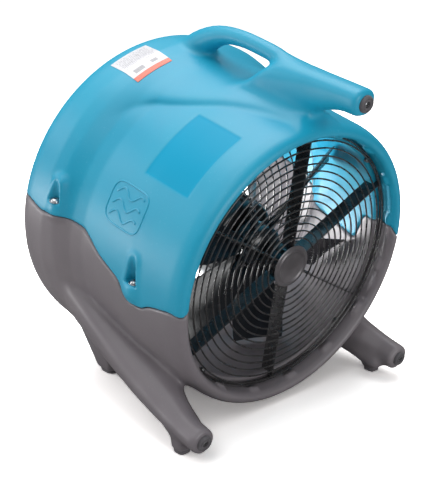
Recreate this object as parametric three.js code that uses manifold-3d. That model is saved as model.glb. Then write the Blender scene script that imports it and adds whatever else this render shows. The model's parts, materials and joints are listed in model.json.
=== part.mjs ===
// Portable axial air mover. All sizes in millimetres.
// Fan frame: origin in the middle of the front guard, +Y back along the fan axis, +Z up, +X right.
// The whole fan tips forward by PITCH, then stands on the floor at z = 0.
import * as THREE from "three";
import { mergeVertices } from "three/addons/utils/BufferGeometryUtils.js";
import { LoftGeometry } from "three/addons/geometries/LoftGeometry.js";
import Module from "manifold-3d";

const wasm = await Module();
wasm.setup();

// ---- driving dimensions ----
const DEG = Math.PI / 180;
const PITCH = 10.4 * DEG;
const AXIS_HEIGHT = 243; // middle of the front guard above the floor
const GAP = 0.3; // clearance between neighbouring pieces

const DRUM_R = 241; // outside of the front drum
const LIP_FRONT_Y = -22;
const LIP_INSIDE_R = 212.5;
const LEDGE_Y = 14; // the front guard is screwed to this ledge
const DUCT_R = 202;
const DUCT_END_Y = 140;
const REAR_LEDGE_Y = 178;
const INLET_R = 233; // inside of the drum behind the rear guard
const RIM_R = 267; // outside of the flared inlet rim
const RIM_INSIDE_R = 254;
const REAR_Y = 346;
const DRUM_SIDES = 34;

const LEG_ANGLE = 131.8 * DEG; // legs, measured from the handle round the fan axis
const LIMB_TIP_Y = -80;
const LIMB_AXIS_R = 288;
const GRIP_R = 15.5;
const BUMPER_R = 12.5;
const BUMPER_FACE_Y = -88;

const FRONT_FOOT = { x: 211, y: 6, halfX: 18, halfY: 20 };
const REAR_FOOT = { x: 124, y: 303, halfX: 28, halfY: 20 };
const PAD_H = 6;

const WIRE_R = 1.5;
const RING_PITCH = 12;
const FIRST_RING_R = 47.3;
const RINGS = 14;
const GUARD_SIDES = 18;
const DISC_R = 34.6;
const STRIP_DEPTH = 25;
const STRIP_T = 2;
const REAR_GUARD_Y = 181.3;
const REAR_RING_R = 226;
const REAR_RING_PITCH = 15.6;
const REAR_RINGS = 11;

const BLADES = 6;
const BLADE_TIP_R = 194;
const BLADE_ROOT_R = 40;
const BLADE_Y = 82;
const FIRST_BLADE = 48 * DEG;
const HUB_R = 36;
const HUB_FRONT_Y = 64;
const HUB_REAR_Y = 104;
const SHAFT_R = 6.35;

const MOTOR_R = 58;
const MOTOR_FRONT_Y = 108;
const MOTOR_REAR_Y = 178;
const BEARING_R = 14;

const PANEL_ANGLE = 62 * DEG;
const PANEL_R = 258; // distance of the control panel from the fan axis
const PANEL_Y = 286;

const CORD_R = 4.2;
const HOOK_ANGLE = 35 * DEG;
const HOOK_R = 247; // outside of the hook strip, just inside the rim
const HOOK_HALF = 8;
const COIL_R = 72;
const COIL_TURNS = 4;

// ---- materials ----
const finish = (color, roughness, metalness) =>
  new THREE.MeshStandardMaterial({ color, roughness, metalness });
const BLUE = finish(0x45a9d6, 0.45, 0);
const GREY = finish(0x77757b, 0.5, 0);
const BLACK_STEEL = finish(0x17171a, 0.35, 0.6);
const DISC_GREY = finish(0x55555a, 0.35, 0.7);
const RUBBER = finish(0x3a3a3d, 0.85, 0);
const ZINC = finish(0xb9bcc0, 0.3, 0.9);
const IMPELLER = finish(0x1c1f26, 0.35, 0);
const MOTOR_PAINT = finish(0x2a2a2d, 0.35, 0.4);
const STEEL = finish(0x9a9da1, 0.3, 0.9);
const CORE = finish(0x6c665f, 0.5, 0.8);
const BLACK_PLASTIC = finish(0x1a1a1b, 0.5, 0);
const RED_PLASTIC = finish(0xb3261e, 0.4, 0);
const ALUMINIUM = finish(0xc3c5c8, 0.35, 0.9);
const LABEL_WHITE = finish(0xf1f1ee, 0.5, 0);

// ---- helpers ----
const v3 = (x, y, z) => new THREE.Vector3(x, y, z);
const v2 = (x, y) => new THREE.Vector2(x, y);

// A three.js geometry as a manifold solid that faces out.
function solid(geometry) {
  const g = new THREE.BufferGeometry();
  g.setAttribute("position", geometry.getAttribute("position"));
  g.setIndex(geometry.index);
  const merged = mergeVertices(g, 1e-3);
  const index = merged.index.array;
  const keep = [];
  for (let i = 0; i < index.length; i += 3) {
    const [a, b, c] = [index[i], index[i + 1], index[i + 2]];
    if (a !== b && b !== c && c !== a) keep.push(a, b, c);
  }
  const build = (triVerts) =>
    new wasm.Manifold(
      new wasm.Mesh({ numProp: 3, vertProperties: merged.attributes.position.array, triVerts }),
    );
  const made = build(new Uint32Array(keep));
  return made.volume() > 0 ? made : build(new Uint32Array(keep).reverse());
}

function geometryOf(manifold) {
  const mesh = manifold.getMesh();
  const g = new THREE.BufferGeometry();
  g.setAttribute("position", new THREE.BufferAttribute(new Float32Array(mesh.vertProperties), 3));
  g.setIndex(new THREE.BufferAttribute(new Uint32Array(mesh.triVerts), 1));
  const flat = g.toNonIndexed();
  flat.computeVertexNormals();
  return flat;
}

const union = (parts) => parts.reduce((a, b) => a.add(b));

// Revolves a profile of [radius, y] pairs round the fan axis.
const turned = (profile, sides = 24) =>
  solid(new THREE.LatheGeometry(profile.map(([r, y]) => v2(r, y)), sides));

// A washer-like ring between two radii, from y0 to y1.
const ring = (inner, outer, y0, y1, sides = 24) =>
  turned([[inner, y0], [outer, y0], [outer, y1], [inner, y1], [inner, y0]], sides);

// A cylinder along the fan axis.
const rod = (radius, y0, y1, x = 0, z = 0, sides = 16) =>
  solid(new THREE.CylinderGeometry(radius, radius, y1 - y0, sides).translate(x, (y0 + y1) / 2, z));

// A vertical cylinder in the fan frame.
const post = (radius, z0, z1, x, y, sides = 16) =>
  solid(
    new THREE.CylinderGeometry(radius, radius, z1 - z0, sides)
      .rotateX(Math.PI / 2)
      .translate(x, y, (z0 + z1) / 2),
  );

const box = (x0, x1, y0, y1, z0, z1) =>
  solid(
    new THREE.BoxGeometry(x1 - x0, y1 - y0, z1 - z0)
      .translate((x0 + x1) / 2, (y0 + y1) / 2, (z0 + z1) / 2),
  );

// Turns a geometry made at the top of the fan to another angle round the fan axis.
const atAngle = (geometry, angle) => geometry.rotateY(angle);

// Turns a level geometry into the tipped fan frame.
const level = (geometry) => geometry.rotateX(-PITCH);

const polar = (angle, radius, y) => v3(radius * Math.sin(angle), y, radius * Math.cos(angle));

// ---- housing ----

// One closed cross-section of a limb: an oval bent round the drum.
function limbSection(angle, { y, inner, outer, half }, grow) {
  const sides = 12;
  const middle = (inner + outer) / 2;
  const rise = (outer - inner) / 2 + grow;
  const points = [];
  for (let k = 0; k < sides; k++) {
    const turn = (2 * Math.PI * k) / sides;
    const c = Math.cos(turn);
    const s = Math.sin(turn);
    const across = (half + grow) * Math.sign(c) * Math.abs(c) ** 0.8;
    const radius = middle + rise * Math.sign(s) * Math.abs(s) ** 0.8;
    points.push(polar(angle + across / outer, radius, y));
  }
  return points;
}

function limb(angle, stations, grow = 0) {
  const sections = stations.map((station) => limbSection(angle, station, grow));
  return solid(new LoftGeometry(sections, { capStart: true, capEnd: true }));
}

const limbTip = [
  { y: -49, inner: 269, outer: 307, half: 21.5 },
  { y: -70, inner: 271, outer: 306, half: 19.5 },
  { y: -77, inner: 275, outer: 301, half: 15 },
  { y: LIMB_TIP_Y, inner: 278, outer: 298, half: 11.5 },
];

const handleFin = [
  { y: 100, inner: 215, outer: 258, half: 50 },
  { y: 84, inner: 215, outer: 300, half: 42 },
  { y: 60, inner: 215, outer: 306, half: 37 },
  { y: 32, inner: 236, outer: 307, half: 31 },
  { y: 0, inner: 252, outer: 307, half: 26 },
  ...limbTip,
];

const handleSaddle = [
  { y: 318, inner: 225, outer: 268, half: 150 },
  { y: 240, inner: 225, outer: 267, half: 137 },
  { y: 195, inner: 225, outer: 259, half: 115 },
  { y: 150, inner: 225, outer: 254, half: 88 },
  { y: 110, inner: 225, outer: 252, half: 66 },
  { y: 65, inner: 225, outer: 250, half: 46 },
  { y: 20, inner: 225, outer: 244, half: 30 },
];

const legStations = [
  { y: 315, inner: 225, outer: 264, half: 108 },
  { y: 244, inner: 225, outer: 273, half: 100 },
  { y: 188, inner: 225, outer: 282, half: 84 },
  { y: 120, inner: 228, outer: 292, half: 62 },
  { y: 60, inner: 238, outer: 300, half: 42 },
  { y: 0, inner: 256, outer: 305, half: 27 },
  ...limbTip,
];

// Outside of the drum and the flared inlet rim, filled to the axis.
function drum(grow = 0) {
  return turned(
    [
      [0, LIP_FRONT_Y],
      [220, LIP_FRONT_Y],
      [228, -19],
      [233, -11],
      [236, 3],
      [DRUM_R + grow, 100],
      [DRUM_R + grow, 208],
      [247 + grow, 234],
      [261 + grow, 261],
      [RIM_R + grow, 284],
      [RIM_R + grow, 322],
      [264, 336],
      [257, 344],
      [249, REAR_Y],
      [0, REAR_Y],
    ],
    DRUM_SIDES,
  );
}

// Air space inside the housing, from in front of the lip to behind the rim.
function airway() {
  return turned(
    [
      [0, -60],
      [222, -60],
      [217, LIP_FRONT_Y],
      [LIP_INSIDE_R, -14],
      [LIP_INSIDE_R, LEDGE_Y],
      [DUCT_R, LEDGE_Y],
      [DUCT_R, DUCT_END_Y],
      [207, 157],
      [221, 171],
      [221, REAR_LEDGE_Y],
      [INLET_R, REAR_LEDGE_Y],
      [INLET_R, 212],
      [245, 256],
      [RIM_INSIDE_R, 285],
      [RIM_INSIDE_R, 325],
      [250, REAR_Y],
      [250, 380],
      [0, 380],
    ],
    DRUM_SIDES,
  );
}

// Hollow between the duct and the outer wall; it is open where the two shells meet.
function wallHollow() {
  return turned(
    [
      [217, -10],
      [226, -11],
      [230, 3],
      [230, 164],
      [219, 160],
      [207, 136],
      [207, 19],
      [217, 19],
      [217, -10],
    ],
    DRUM_SIDES,
  );
}

// Hollow under the grip that leaves room for the fingers.
function handScoop() {
  const scoop = new THREE.SphereGeometry(1, 20, 14).scale(74, 66, 36).translate(0, 156, 270);
  return solid(scoop).intersect(box(-90, 90, 60, 250, 200, 281));
}

function gripArch() {
  const spine = new THREE.CatmullRomCurve3([
    v3(0, 318, 240),
    v3(0, 303, 250),
    v3(0, 277, 272),
    v3(0, 235, 295),
    v3(0, 185, 302.5),
    v3(0, 130, 301.5),
    v3(0, 88, 293),
    v3(0, 55, 280),
  ]);
  const section = new THREE.Shape();
  section.absellipse(0, 0, GRIP_R, GRIP_R + 1, 0, 2 * Math.PI);
  return solid(
    new THREE.ExtrudeGeometry(section, {
      extrudePath: spine,
      steps: 14,
      curveSegments: 5,
      bevelEnabled: false,
    }),
  );
}

// A level foot that tapers down from inside the shell to the rubber pad.
function footBlock(foot, side, topZ, spread) {
  const bottomZ = -AXIS_HEIGHT + PAD_H + GAP;
  const section = (z, halfX, halfY) => {
    const points = [];
    for (let k = 0; k < 12; k++) {
      const turn = (2 * Math.PI * (k + 0.5)) / 12;
      const c = Math.cos(turn);
      const s = Math.sin(turn);
      points.push(
        v3(
          side * foot.x + halfX * Math.sign(c) * Math.abs(c) ** 0.5,
          foot.y + halfY * Math.sign(s) * Math.abs(s) ** 0.5,
          z,
        ),
      );
    }
    return points;
  };
  const loft = new LoftGeometry(
    [
      section(bottomZ, foot.halfX, foot.halfY),
      section(topZ, foot.halfX * spread, foot.halfY * spread),
    ],
    { capStart: true, capEnd: true },
  );
  return solid(level(loft));
}

// The housing screws stand upright in tear-drop pockets at the sides of the drum.
const HOUSING_SCREWS = {
  front: { y: 84, x: 231.5, seat: -9, pocketX: 237, pocketTopX: 244, pocketTop: 50, bossX: 224 },
  rear: { y: 264, x: 255, seat: 50, pocketX: 260, pocketTopX: 256, pocketTop: 98, bossX: 249 },
};
const SCREW_R = 2.2;
const SCREW_L = 40;

function pocket(side, s) {
  const circle = (x, z, r) => {
    const points = [];
    for (let k = 0; k < 12; k++) {
      const turn = (2 * Math.PI * k) / 12;
      points.push(v3(side * x + r * Math.cos(turn), s.y + r * Math.sin(turn), z));
    }
    return points;
  };
  const sections = [
    circle(s.pocketX, s.seat, 12),
    circle(s.pocketX + 1, s.seat + 18, 11),
    circle(s.pocketTopX, s.pocketTop, 4),
  ];
  return solid(new LoftGeometry(sections, { capStart: true, capEnd: true }));
}

// Side view of the joint between the shells; dz lowers the line for the lower shell.
function partingBlock(dz, up) {
  const line = [
    [-150, 12],
    [-24, 12],
    [-2, 2],
    [20, -13],
    [46, -28],
    [62, -40],
    [90, -42],
    [104, -35],
    [113, -17],
    [163, 0],
    [208, 26],
    [250, 30],
    [290, 27],
    [324, 34],
    [430, 34],
  ].map(([y, z]) => v2(y, z + dz));
  const edge = up ? 420 : -420;
  const outline = [...line, v2(430, edge), v2(-150, edge)];
  const shape = new THREE.Shape(outline);
  const block = new THREE.ExtrudeGeometry(shape, { depth: 900, bevelEnabled: false });
  block.translate(0, 0, -450);
  const toFan = new THREE.Matrix4().makeBasis(v3(0, 1, 0), v3(0, 0, 1), v3(1, 0, 0));
  return solid(block.applyMatrix4(toFan));
}

// Box-shaped well for the switch, built at the top of the fan and turned to its place.
function wellBox(halfX, y0, y1, r0, r1) {
  const g = new THREE.BoxGeometry(2 * halfX, y1 - y0, r1 - r0);
  g.translate(0, (y0 + y1) / 2, (r0 + r1) / 2);
  return solid(atAngle(g, PANEL_ANGLE));
}

const sidesOf = [-1, 1];
const guardScrewAngles = [45, 135, 225, 315].map((a) => a * DEG);
const FRONT_SCREW_R = 206.6;
const REAR_SCREW_R = 227;

// Everything the two shells are cut from.
function housingBlank() {
  const handle = union([limb(0, handleFin), limb(0, handleSaddle)]).subtract(handScoop());
  const limbs = [
    gripArch(),
    handle,
    ...sidesOf.map((side) => limb(side * LEG_ANGLE, legStations)),
    ...sidesOf.map((side) => footBlock(FRONT_FOOT, side, -195, 1.05)),
    ...sidesOf.map((side) => footBlock(REAR_FOOT, side, -150, 1.5)),
  ];
  const air = airway();
  const skin = union([drum().subtract(handScoop()), ...limbs]);
  let shell = skin.subtract(air).subtract(wallHollow());
  const bosses = [];
  for (const side of sidesOf) {
    for (const s of Object.values(HOUSING_SCREWS)) {
      bosses.push(post(12, s.seat - 60, s.seat + 14, side * s.bossX, s.y).intersect(skin));
    }
  }
  for (const angle of guardScrewAngles) {
    const p = polar(angle, FRONT_SCREW_R + 3, 0);
    bosses.push(rod(7, LEDGE_Y + 3, 48, p.x, p.z).subtract(ring(0.01, DUCT_R + 2, -60, 60, DRUM_SIDES)));
  }
  bosses.push(wellBox(35, 241, 331, 224, 262).intersect(skin));
  shell = union([shell, ...bosses]);
  // switch well: a hollow for the switch, a seat for the panel and a hole for the cord gland
  shell = shell.subtract(wellBox(29, 247, 325, 229, 262));
  shell = shell.subtract(wellBox(33.3, 242.7, 329.3, PANEL_R - GAP, 290));
  const glandHole = new THREE.CylinderGeometry(8.3, 8.3, 40, 16).translate(0, 335, 243);
  shell = shell.subtract(solid(atAngle(glandHole, PANEL_ANGLE)));
  for (const side of sidesOf) {
    for (const s of Object.values(HOUSING_SCREWS)) {
      const hole = post(SCREW_R + GAP, s.seat - SCREW_L - 1, s.seat + 1, side * s.x, s.y, 12);
      shell = shell.subtract(pocket(side, s)).subtract(hole);
    }
  }
  for (const angle of guardScrewAngles) {
    const a = polar(angle, FRONT_SCREW_R, 0);
    const b = polar(angle, REAR_SCREW_R, 0);
    shell = shell.subtract(rod(1.9 + GAP, 0, LEDGE_Y + 22, a.x, a.z, 10));
    shell = shell.subtract(rod(1.9 + GAP, REAR_LEDGE_Y - 11, REAR_LEDGE_Y + 3, b.x, b.z, 10));
  }
  for (const angle of [0, LEG_ANGLE, -LEG_ANGLE]) {
    const p = polar(angle, LIMB_AXIS_R, 0);
    shell = shell.subtract(rod(8 + GAP, -100, -65, p.x, p.z));
    shell = shell.subtract(rod(2.2 + GAP, -70, -44, p.x, p.z, 12));
  }
  return shell;
}

// ---- guards ----

// A closed wire ring with a three-sided section, flat at the front.
// Half a facet of turn puts the strips in the middle of a facet.
function wireRing(radius, y, sides) {
  const section = [
    v2(radius - WIRE_R, y - WIRE_R),
    v2(radius + WIRE_R, y - WIRE_R),
    v2(radius, y + WIRE_R),
    v2(radius - WIRE_R, y - WIRE_R),
  ];
  return solid(new THREE.LatheGeometry(section, sides, Math.PI / sides));
}

function strip(angle, r0, r1, y0, y1) {
  const g = new THREE.BoxGeometry(STRIP_T, y1 - y0, r1 - r0).translate(0, (y0 + y1) / 2, (r0 + r1) / 2);
  return solid(atAngle(g, angle));
}

function guardTab(angle, radius, y0, y1) {
  const p = polar(angle, radius, 0);
  return rod(4.3, y0, y1, p.x, p.z, 12);
}

// Room for the heads and shanks of the guard screws.
function screwSeats(radius, headY0, headY1, shankY) {
  const seats = guardScrewAngles.map((angle) => {
    const p = polar(angle, radius, 0);
    const from = Math.min(headY0, shankY);
    const to = Math.max(headY1, shankY);
    return rod(4 + GAP, headY0, headY1, p.x, p.z, 12).add(rod(1.9 + GAP, from, to, p.x, p.z, 10));
  });
  return union(seats);
}

function frontGuard() {
  const parts = [];
  for (let n = 0; n < RINGS; n++) {
    parts.push(wireRing(FIRST_RING_R + n * RING_PITCH, 0, GUARD_SIDES));
  }
  const rimR = LIP_INSIDE_R - WIRE_R - 2.4;
  parts.push(wireRing(rimR, 3.5, GUARD_SIDES));
  parts.push(wireRing(rimR, 9.5, GUARD_SIDES));
  parts.push(ring(26, 29, 1.3, 24, 18));
  for (let k = 0; k < 6; k++) {
    const angle = k * 60 * DEG;
    parts.push(strip(angle, 27.5, 199, 0.9, 0.9 + STRIP_DEPTH));
    parts.push(strip(angle, 198, rimR - 1, 0.9, 10.5));
  }
  for (const angle of guardScrewAngles) {
    parts.push(guardTab(angle, FRONT_SCREW_R, 9.5, LEDGE_Y - GAP));
  }
  return union(parts).subtract(screwSeats(FRONT_SCREW_R, 6, 9.5, 20));
}

// Stamped disc with a raised inner ring, pressed on the strips' middle ring.
function guardDisc() {
  return turned(
    [
      [0, -1.5],
      [24, -1.5],
      [25.5, -3.5],
      [27.5, -3.5],
      [29, -1.5],
      [32.5, -2],
      [DISC_R, 0.2],
      [DISC_R - 2, 0.4],
      [0, 0.4],
    ],
    24,
  );
}

function rearGuard() {
  const parts = [];
  for (let n = 0; n < REAR_RINGS; n++) {
    parts.push(wireRing(REAR_RING_R - n * REAR_RING_PITCH, REAR_GUARD_Y, GUARD_SIDES));
  }
  for (let k = 0; k < 4; k++) {
    parts.push(strip((k * 90 + 15) * DEG, 46, REAR_RING_R + 2, REAR_GUARD_Y + 0.8, REAR_GUARD_Y + 20));
  }
  let plate = ring(15, 50, REAR_GUARD_Y - 1.2, REAR_GUARD_Y + 2.2, 24);
  for (const p of motorBoltPlaces()) {
    plate = plate.subtract(rod(2.5 + GAP, 150, 200, p.x, p.z, 12));
  }
  parts.push(plate);
  for (const angle of guardScrewAngles) {
    parts.push(guardTab(angle, REAR_SCREW_R, REAR_LEDGE_Y + GAP, REAR_LEDGE_Y + 3.3));
  }
  return union(parts).subtract(screwSeats(REAR_SCREW_R, REAR_LEDGE_Y + 3.3, 190, 170));
}

// A screw along the fan axis with its head at the front (dir 1) or at the rear (dir -1).
function axialScrew(p, y, length, shankR, headR, headH, dir) {
  const span = (from, to) => [Math.min(from, to), Math.max(from, to)];
  const shank = rod(shankR, ...span(y, y + dir * length), p.x, p.z, 10);
  const head = rod(headR, ...span(y - dir * headH, y + dir * 0.05), p.x, p.z, 14);
  return shank.add(head);
}

function housingScrew(side, s) {
  const x = side * s.x;
  const base = s.seat + GAP;
  const shank = post(SCREW_R, base - SCREW_L, base + 0.1, x, s.y, 10);
  const dome = new THREE.CylinderGeometry(3, 5, 3.4, 12).rotateX(Math.PI / 2);
  const head = solid(dome.translate(x, s.y, base + 1.7));
  const slot = box(x - 2.4, x + 2.4, s.y - 0.5, s.y + 0.5, base + 2, base + 6);
  return shank.add(head).subtract(slot);
}

// ---- bumpers and feet ----

function bumper(angle) {
  const g = turned(
    [
      [0, BUMPER_FACE_Y],
      [BUMPER_R - 3, BUMPER_FACE_Y],
      [BUMPER_R - 0.6, BUMPER_FACE_Y + 1.6],
      [BUMPER_R, LIMB_TIP_Y - GAP],
      [8, LIMB_TIP_Y - GAP],
      [8, -65 - GAP],
      [0, -65 - GAP],
    ],
    16,
  );
  const p = polar(angle, LIMB_AXIS_R, 0);
  const placed = g.translate([p.x, 0, p.z]);
  return placed
    .subtract(rod(2.2 + GAP, -100, -40, p.x, p.z, 12))
    .subtract(rod(4.6, -100, BUMPER_FACE_Y + 4, p.x, p.z, 14));
}

function bumperScrew(angle) {
  const p = polar(angle, LIMB_AXIS_R, 0);
  return axialScrew(p, BUMPER_FACE_Y + 4 - GAP, 37, 2.2, 4.2, 2.4, 1);
}

function footPad(foot, side) {
  const pad = new THREE.CylinderGeometry(1, 1, PAD_H, 20).rotateX(Math.PI / 2);
  pad.scale(foot.halfX * 0.98, foot.halfY * 0.98, 1);
  pad.translate(side * foot.x, foot.y, -AXIS_HEIGHT + PAD_H / 2);
  return pad;
}

// ---- impeller ----

// Cross-section of a blade at one radius, in the plane across the blade's own line.
function bladeSection(angle, radius, chord, stagger, thickness, camber) {
  const out = polar(angle, 1, 0);
  const flat = Math.cos(stagger);
  const along = v3(Math.cos(angle) * flat, Math.sin(stagger), -Math.sin(angle) * flat);
  const normal = v3().crossVectors(out, along).normalize();
  const middle = polar(angle, radius, BLADE_Y);
  const stops = [-0.5, -0.3, 0, 0.3, 0.5];
  const point = (u, side) => {
    const bow = camber * (1 - 4 * u * u);
    const half = (thickness / 2) * (1 - 2.6 * u * u);
    return middle.clone().addScaledVector(along, u * chord).addScaledVector(normal, bow + side * half);
  };
  const lower = stops.map((u) => point(u, -1));
  const upper = stops.map((u) => point(u, 1)).reverse();
  return [...lower, ...upper];
}

function blade(angle) {
  const station = (t) => {
    const radius = BLADE_ROOT_R + t * (BLADE_TIP_R - BLADE_ROOT_R);
    const chord = 40 + 44 * Math.min(1, t * 1.7);
    const stagger = (47 - 13 * t) * DEG;
    return bladeSection(angle, radius, chord, stagger, 5 - 1.8 * t, 5);
  };
  const body = solid(
    new LoftGeometry([0, 0.25, 0.6, 1].map(station), { capStart: true, capEnd: true }),
  );
  const tang = new THREE.BoxGeometry(9, 14, 15).translate(0, BLADE_Y, BLADE_ROOT_R - 4);
  return body.add(solid(atAngle(tang, angle)));
}

const bladeAngles = () =>
  Array.from({ length: BLADES }, (_, k) => FIRST_BLADE + (k * 2 * Math.PI) / BLADES);

function impellerHub() {
  let hub = ring(SHAFT_R + GAP, HUB_R, HUB_FRONT_Y, HUB_REAR_Y, 24);
  hub = hub.subtract(rod(12.5, HUB_FRONT_Y - 1, HUB_FRONT_Y + 9, 0, 0, 20));
  for (const angle of bladeAngles()) {
    const slot = new THREE.BoxGeometry(9 + 2 * GAP, 14 + 2 * GAP, 20);
    slot.translate(0, BLADE_Y, BLADE_ROOT_R - 1.8);
    hub = hub.subtract(solid(atAngle(slot, angle)));
  }
  return hub;
}

function hubCap() {
  const dome = [
    [0, HUB_FRONT_Y - 13],
    [12, HUB_FRONT_Y - 12],
    [22, HUB_FRONT_Y - 9],
    [30, HUB_FRONT_Y - 5],
    [HUB_R - 1, HUB_FRONT_Y - GAP],
    [12, HUB_FRONT_Y - GAP],
    [9, HUB_FRONT_Y - 8],
    [0, HUB_FRONT_Y - 8],
  ];
  return turned(dome, 24);
}

function impellerNut() {
  const nut = solid(new THREE.CylinderGeometry(10, 10, 7, 6).translate(0, HUB_FRONT_Y + 4.9, 0));
  return nut.subtract(rod(SHAFT_R + GAP, 0, 200));
}

// ---- motor ----

function motorShaft() {
  return turned(
    [
      [0, HUB_FRONT_Y - 4],
      [SHAFT_R - 1, HUB_FRONT_Y - 4],
      [SHAFT_R, HUB_FRONT_Y - 3],
      [SHAFT_R, MOTOR_REAR_Y - 4],
      [0, MOTOR_REAR_Y - 4],
    ],
    16,
  );
}

const bearing = (y0) => ring(SHAFT_R + GAP, BEARING_R, y0, y0 + 9, 16);

// End cover with a pocket for the bearing, open towards the motor.
function motorCover(outerY, innerY, bore) {
  const inward = Math.sign(innerY - outerY);
  const profile = [
    [bore, outerY],
    [MOTOR_R - 8, outerY],
    [MOTOR_R - 2, outerY + inward * 2.5],
    [MOTOR_R, outerY + inward * 6],
    [MOTOR_R, innerY],
    [MOTOR_R - 5, innerY],
    [MOTOR_R - 9, outerY + inward * 5],
    [BEARING_R + 5, outerY + inward * 5],
    [BEARING_R + 3, outerY + inward * 13],
    [BEARING_R + GAP, outerY + inward * 13],
    [BEARING_R + GAP, outerY + inward * 3],
    [bore, outerY + inward * 3],
    [bore, outerY],
  ];
  return turned(profile, 20);
}

const motorBoltPlaces = () => [30, 150, 270].map((a) => polar(a * DEG, 38, 0));

function rearCover() {
  let cover = motorCover(MOTOR_REAR_Y, MOTOR_REAR_Y - 12, SHAFT_R + 3);
  for (const p of motorBoltPlaces()) {
    cover = cover.subtract(rod(2.5 + GAP, 150, 200, p.x, p.z, 12));
  }
  return cover;
}

const statorCore = () => ring(31, MOTOR_R - 5.2, MOTOR_FRONT_Y + 17, MOTOR_REAR_Y - 17, 20);
const rotorCore = () => ring(SHAFT_R + GAP, 30, MOTOR_FRONT_Y + 19, MOTOR_REAR_Y - 19, 20);
const motorShell = () =>
  ring(MOTOR_R - 4, MOTOR_R, MOTOR_FRONT_Y + 12 + GAP, MOTOR_REAR_Y - 12 - GAP, 20);

const CAPACITOR = { angle: 205 * DEG, radius: 17, distance: 83 };

function runCapacitor() {
  const p = polar(CAPACITOR.angle, CAPACITOR.distance, 0);
  const can = rod(CAPACITOR.radius, 112, 166, p.x, p.z, 24);
  const neck = rod(CAPACITOR.radius - 3, 165.9, 172, p.x, p.z, 24);
  return can.add(neck);
}

function capacitorSaddle() {
  const g = new THREE.BoxGeometry(24, 24, 16).translate(0, 140, MOTOR_R + 4);
  const p = polar(CAPACITOR.angle, CAPACITOR.distance, 0);
  return solid(atAngle(g, CAPACITOR.angle))
    .subtract(rod(MOTOR_R + GAP + 0.4, 60, 200, 0, 0, 20))
    .subtract(rod(CAPACITOR.radius + GAP, 60, 200, p.x, p.z, 24));
}

// ---- control panel, built at the top of the fan and turned to its place ----

const SWITCH_Y = 268;
const BREAKER_Y = 304;
const panelPiece = (geometry) => solid(atAngle(geometry, PANEL_ANGLE));
const panelBox = (halfX, halfY, y, r0, r1) =>
  panelPiece(new THREE.BoxGeometry(2 * halfX, 2 * halfY, r1 - r0).translate(0, y, (r0 + r1) / 2));
const panelRod = (radius, y, r0, r1, sides = 20) =>
  panelPiece(
    new THREE.CylinderGeometry(radius, radius, r1 - r0, sides)
      .rotateX(Math.PI / 2)
      .translate(0, y, (r0 + r1) / 2),
  );

const controlPanel = () =>
  panelBox(33, 43, PANEL_Y, PANEL_R, PANEL_R + 3)
    .subtract(panelBox(11 + GAP, 15 + GAP, SWITCH_Y, 200, 300))
    .subtract(panelRod(7 + GAP, BREAKER_Y, 200, 300));

// Frame and box of the switch; the rocker turns in it.
const switchBody = () =>
  panelBox(11, 15, SWITCH_Y, PANEL_R - 22, PANEL_R + 4)
    .subtract(panelBox(8.5, 12.5, SWITCH_Y, PANEL_R - 12, PANEL_R + 10));

// Rocker paddle: a bowed block on its own pin line.
function rockerSwitch() {
  const outline = new THREE.Shape();
  outline.moveTo(-11.4, 5.2);
  outline.lineTo(0, 3.2);
  outline.lineTo(11.4, 5.2);
  outline.lineTo(9.5, -2.5);
  outline.lineTo(3, -7);
  outline.lineTo(-3, -7);
  outline.lineTo(-9.5, -2.5);
  outline.closePath();
  const g = new THREE.ExtrudeGeometry(outline, { depth: 15, bevelEnabled: false }).translate(0, 0, -7.5);
  const toTop = new THREE.Matrix4().makeBasis(v3(0, 1, 0), v3(0, 0, 1), v3(1, 0, 0));
  g.applyMatrix4(toTop).translate(0, SWITCH_Y, PANEL_R + 3);
  return panelPiece(g);
}

const breakerBody = () =>
  panelRod(7, BREAKER_Y, PANEL_R - 4, PANEL_R + 4.5)
    .add(panelBox(10, 12, BREAKER_Y, PANEL_R - 26, PANEL_R - 3.5))
    .subtract(panelRod(4, BREAKER_Y, PANEL_R - 10, PANEL_R + 10));
const breakerButton = () => panelRod(3.6, BREAKER_Y, PANEL_R - 6, PANEL_R + 7.5);

// ---- cord ----

function cordGland() {
  const body = turned(
    [
      [CORD_R + 3 * GAP, 324],
      [8, 324],
      [8, REAR_Y + GAP],
      [10.5, REAR_Y + GAP],
      [10.5, REAR_Y + 5],
      [7.5, REAR_Y + 12],
      [CORD_R + 3 * GAP, REAR_Y + 12],
      [CORD_R + 3 * GAP, 324],
    ],
    18,
  );
  const p = polar(PANEL_ANGLE, 243, 0);
  return body.translate([p.x, 0, p.z]);
}

// The cord leaves the gland, hangs in loops on the hook and ends at the plug.
function cordPath() {
  const start = polar(PANEL_ANGLE, 243, 0);
  const arm = polar(HOOK_ANGLE, HOOK_R, 0);
  const lift = HOOK_HALF * Math.sin(HOOK_ANGLE);
  const centre = {
    x: arm.x - HOOK_HALF * Math.cos(HOOK_ANGLE),
    z: arm.z + lift - COIL_R + CORD_R + 5 * GAP,
  };
  const points = [
    v3(start.x, 330, start.z),
    v3(start.x, 346, start.z),
    v3(start.x, 364, start.z),
    v3(start.x - 2, 374, start.z - 6),
  ];
  const steps = COIL_TURNS * 10;
  for (let k = 2; k <= steps; k++) {
    const turn = Math.PI / 2 + (k * 2 * Math.PI) / 10;
    const y = 380 + (k * 34) / steps;
    points.push(v3(centre.x + COIL_R * Math.sin(turn), y, centre.z + COIL_R * Math.cos(turn)));
  }
  const last = points[points.length - 1];
  points.push(v3(last.x + 4, 415, last.z - 40), v3(last.x + 4, 415, last.z - 78));
  return new THREE.CatmullRomCurve3(points);
}

function powerCord() {
  const section = new THREE.Shape();
  section.absarc(0, 0, CORD_R, 0, 2 * Math.PI);
  return solid(
    new THREE.ExtrudeGeometry(section, {
      extrudePath: cordPath(),
      steps: 92,
      curveSegments: 3,
      bevelEnabled: false,
    }),
  );
}

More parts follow.
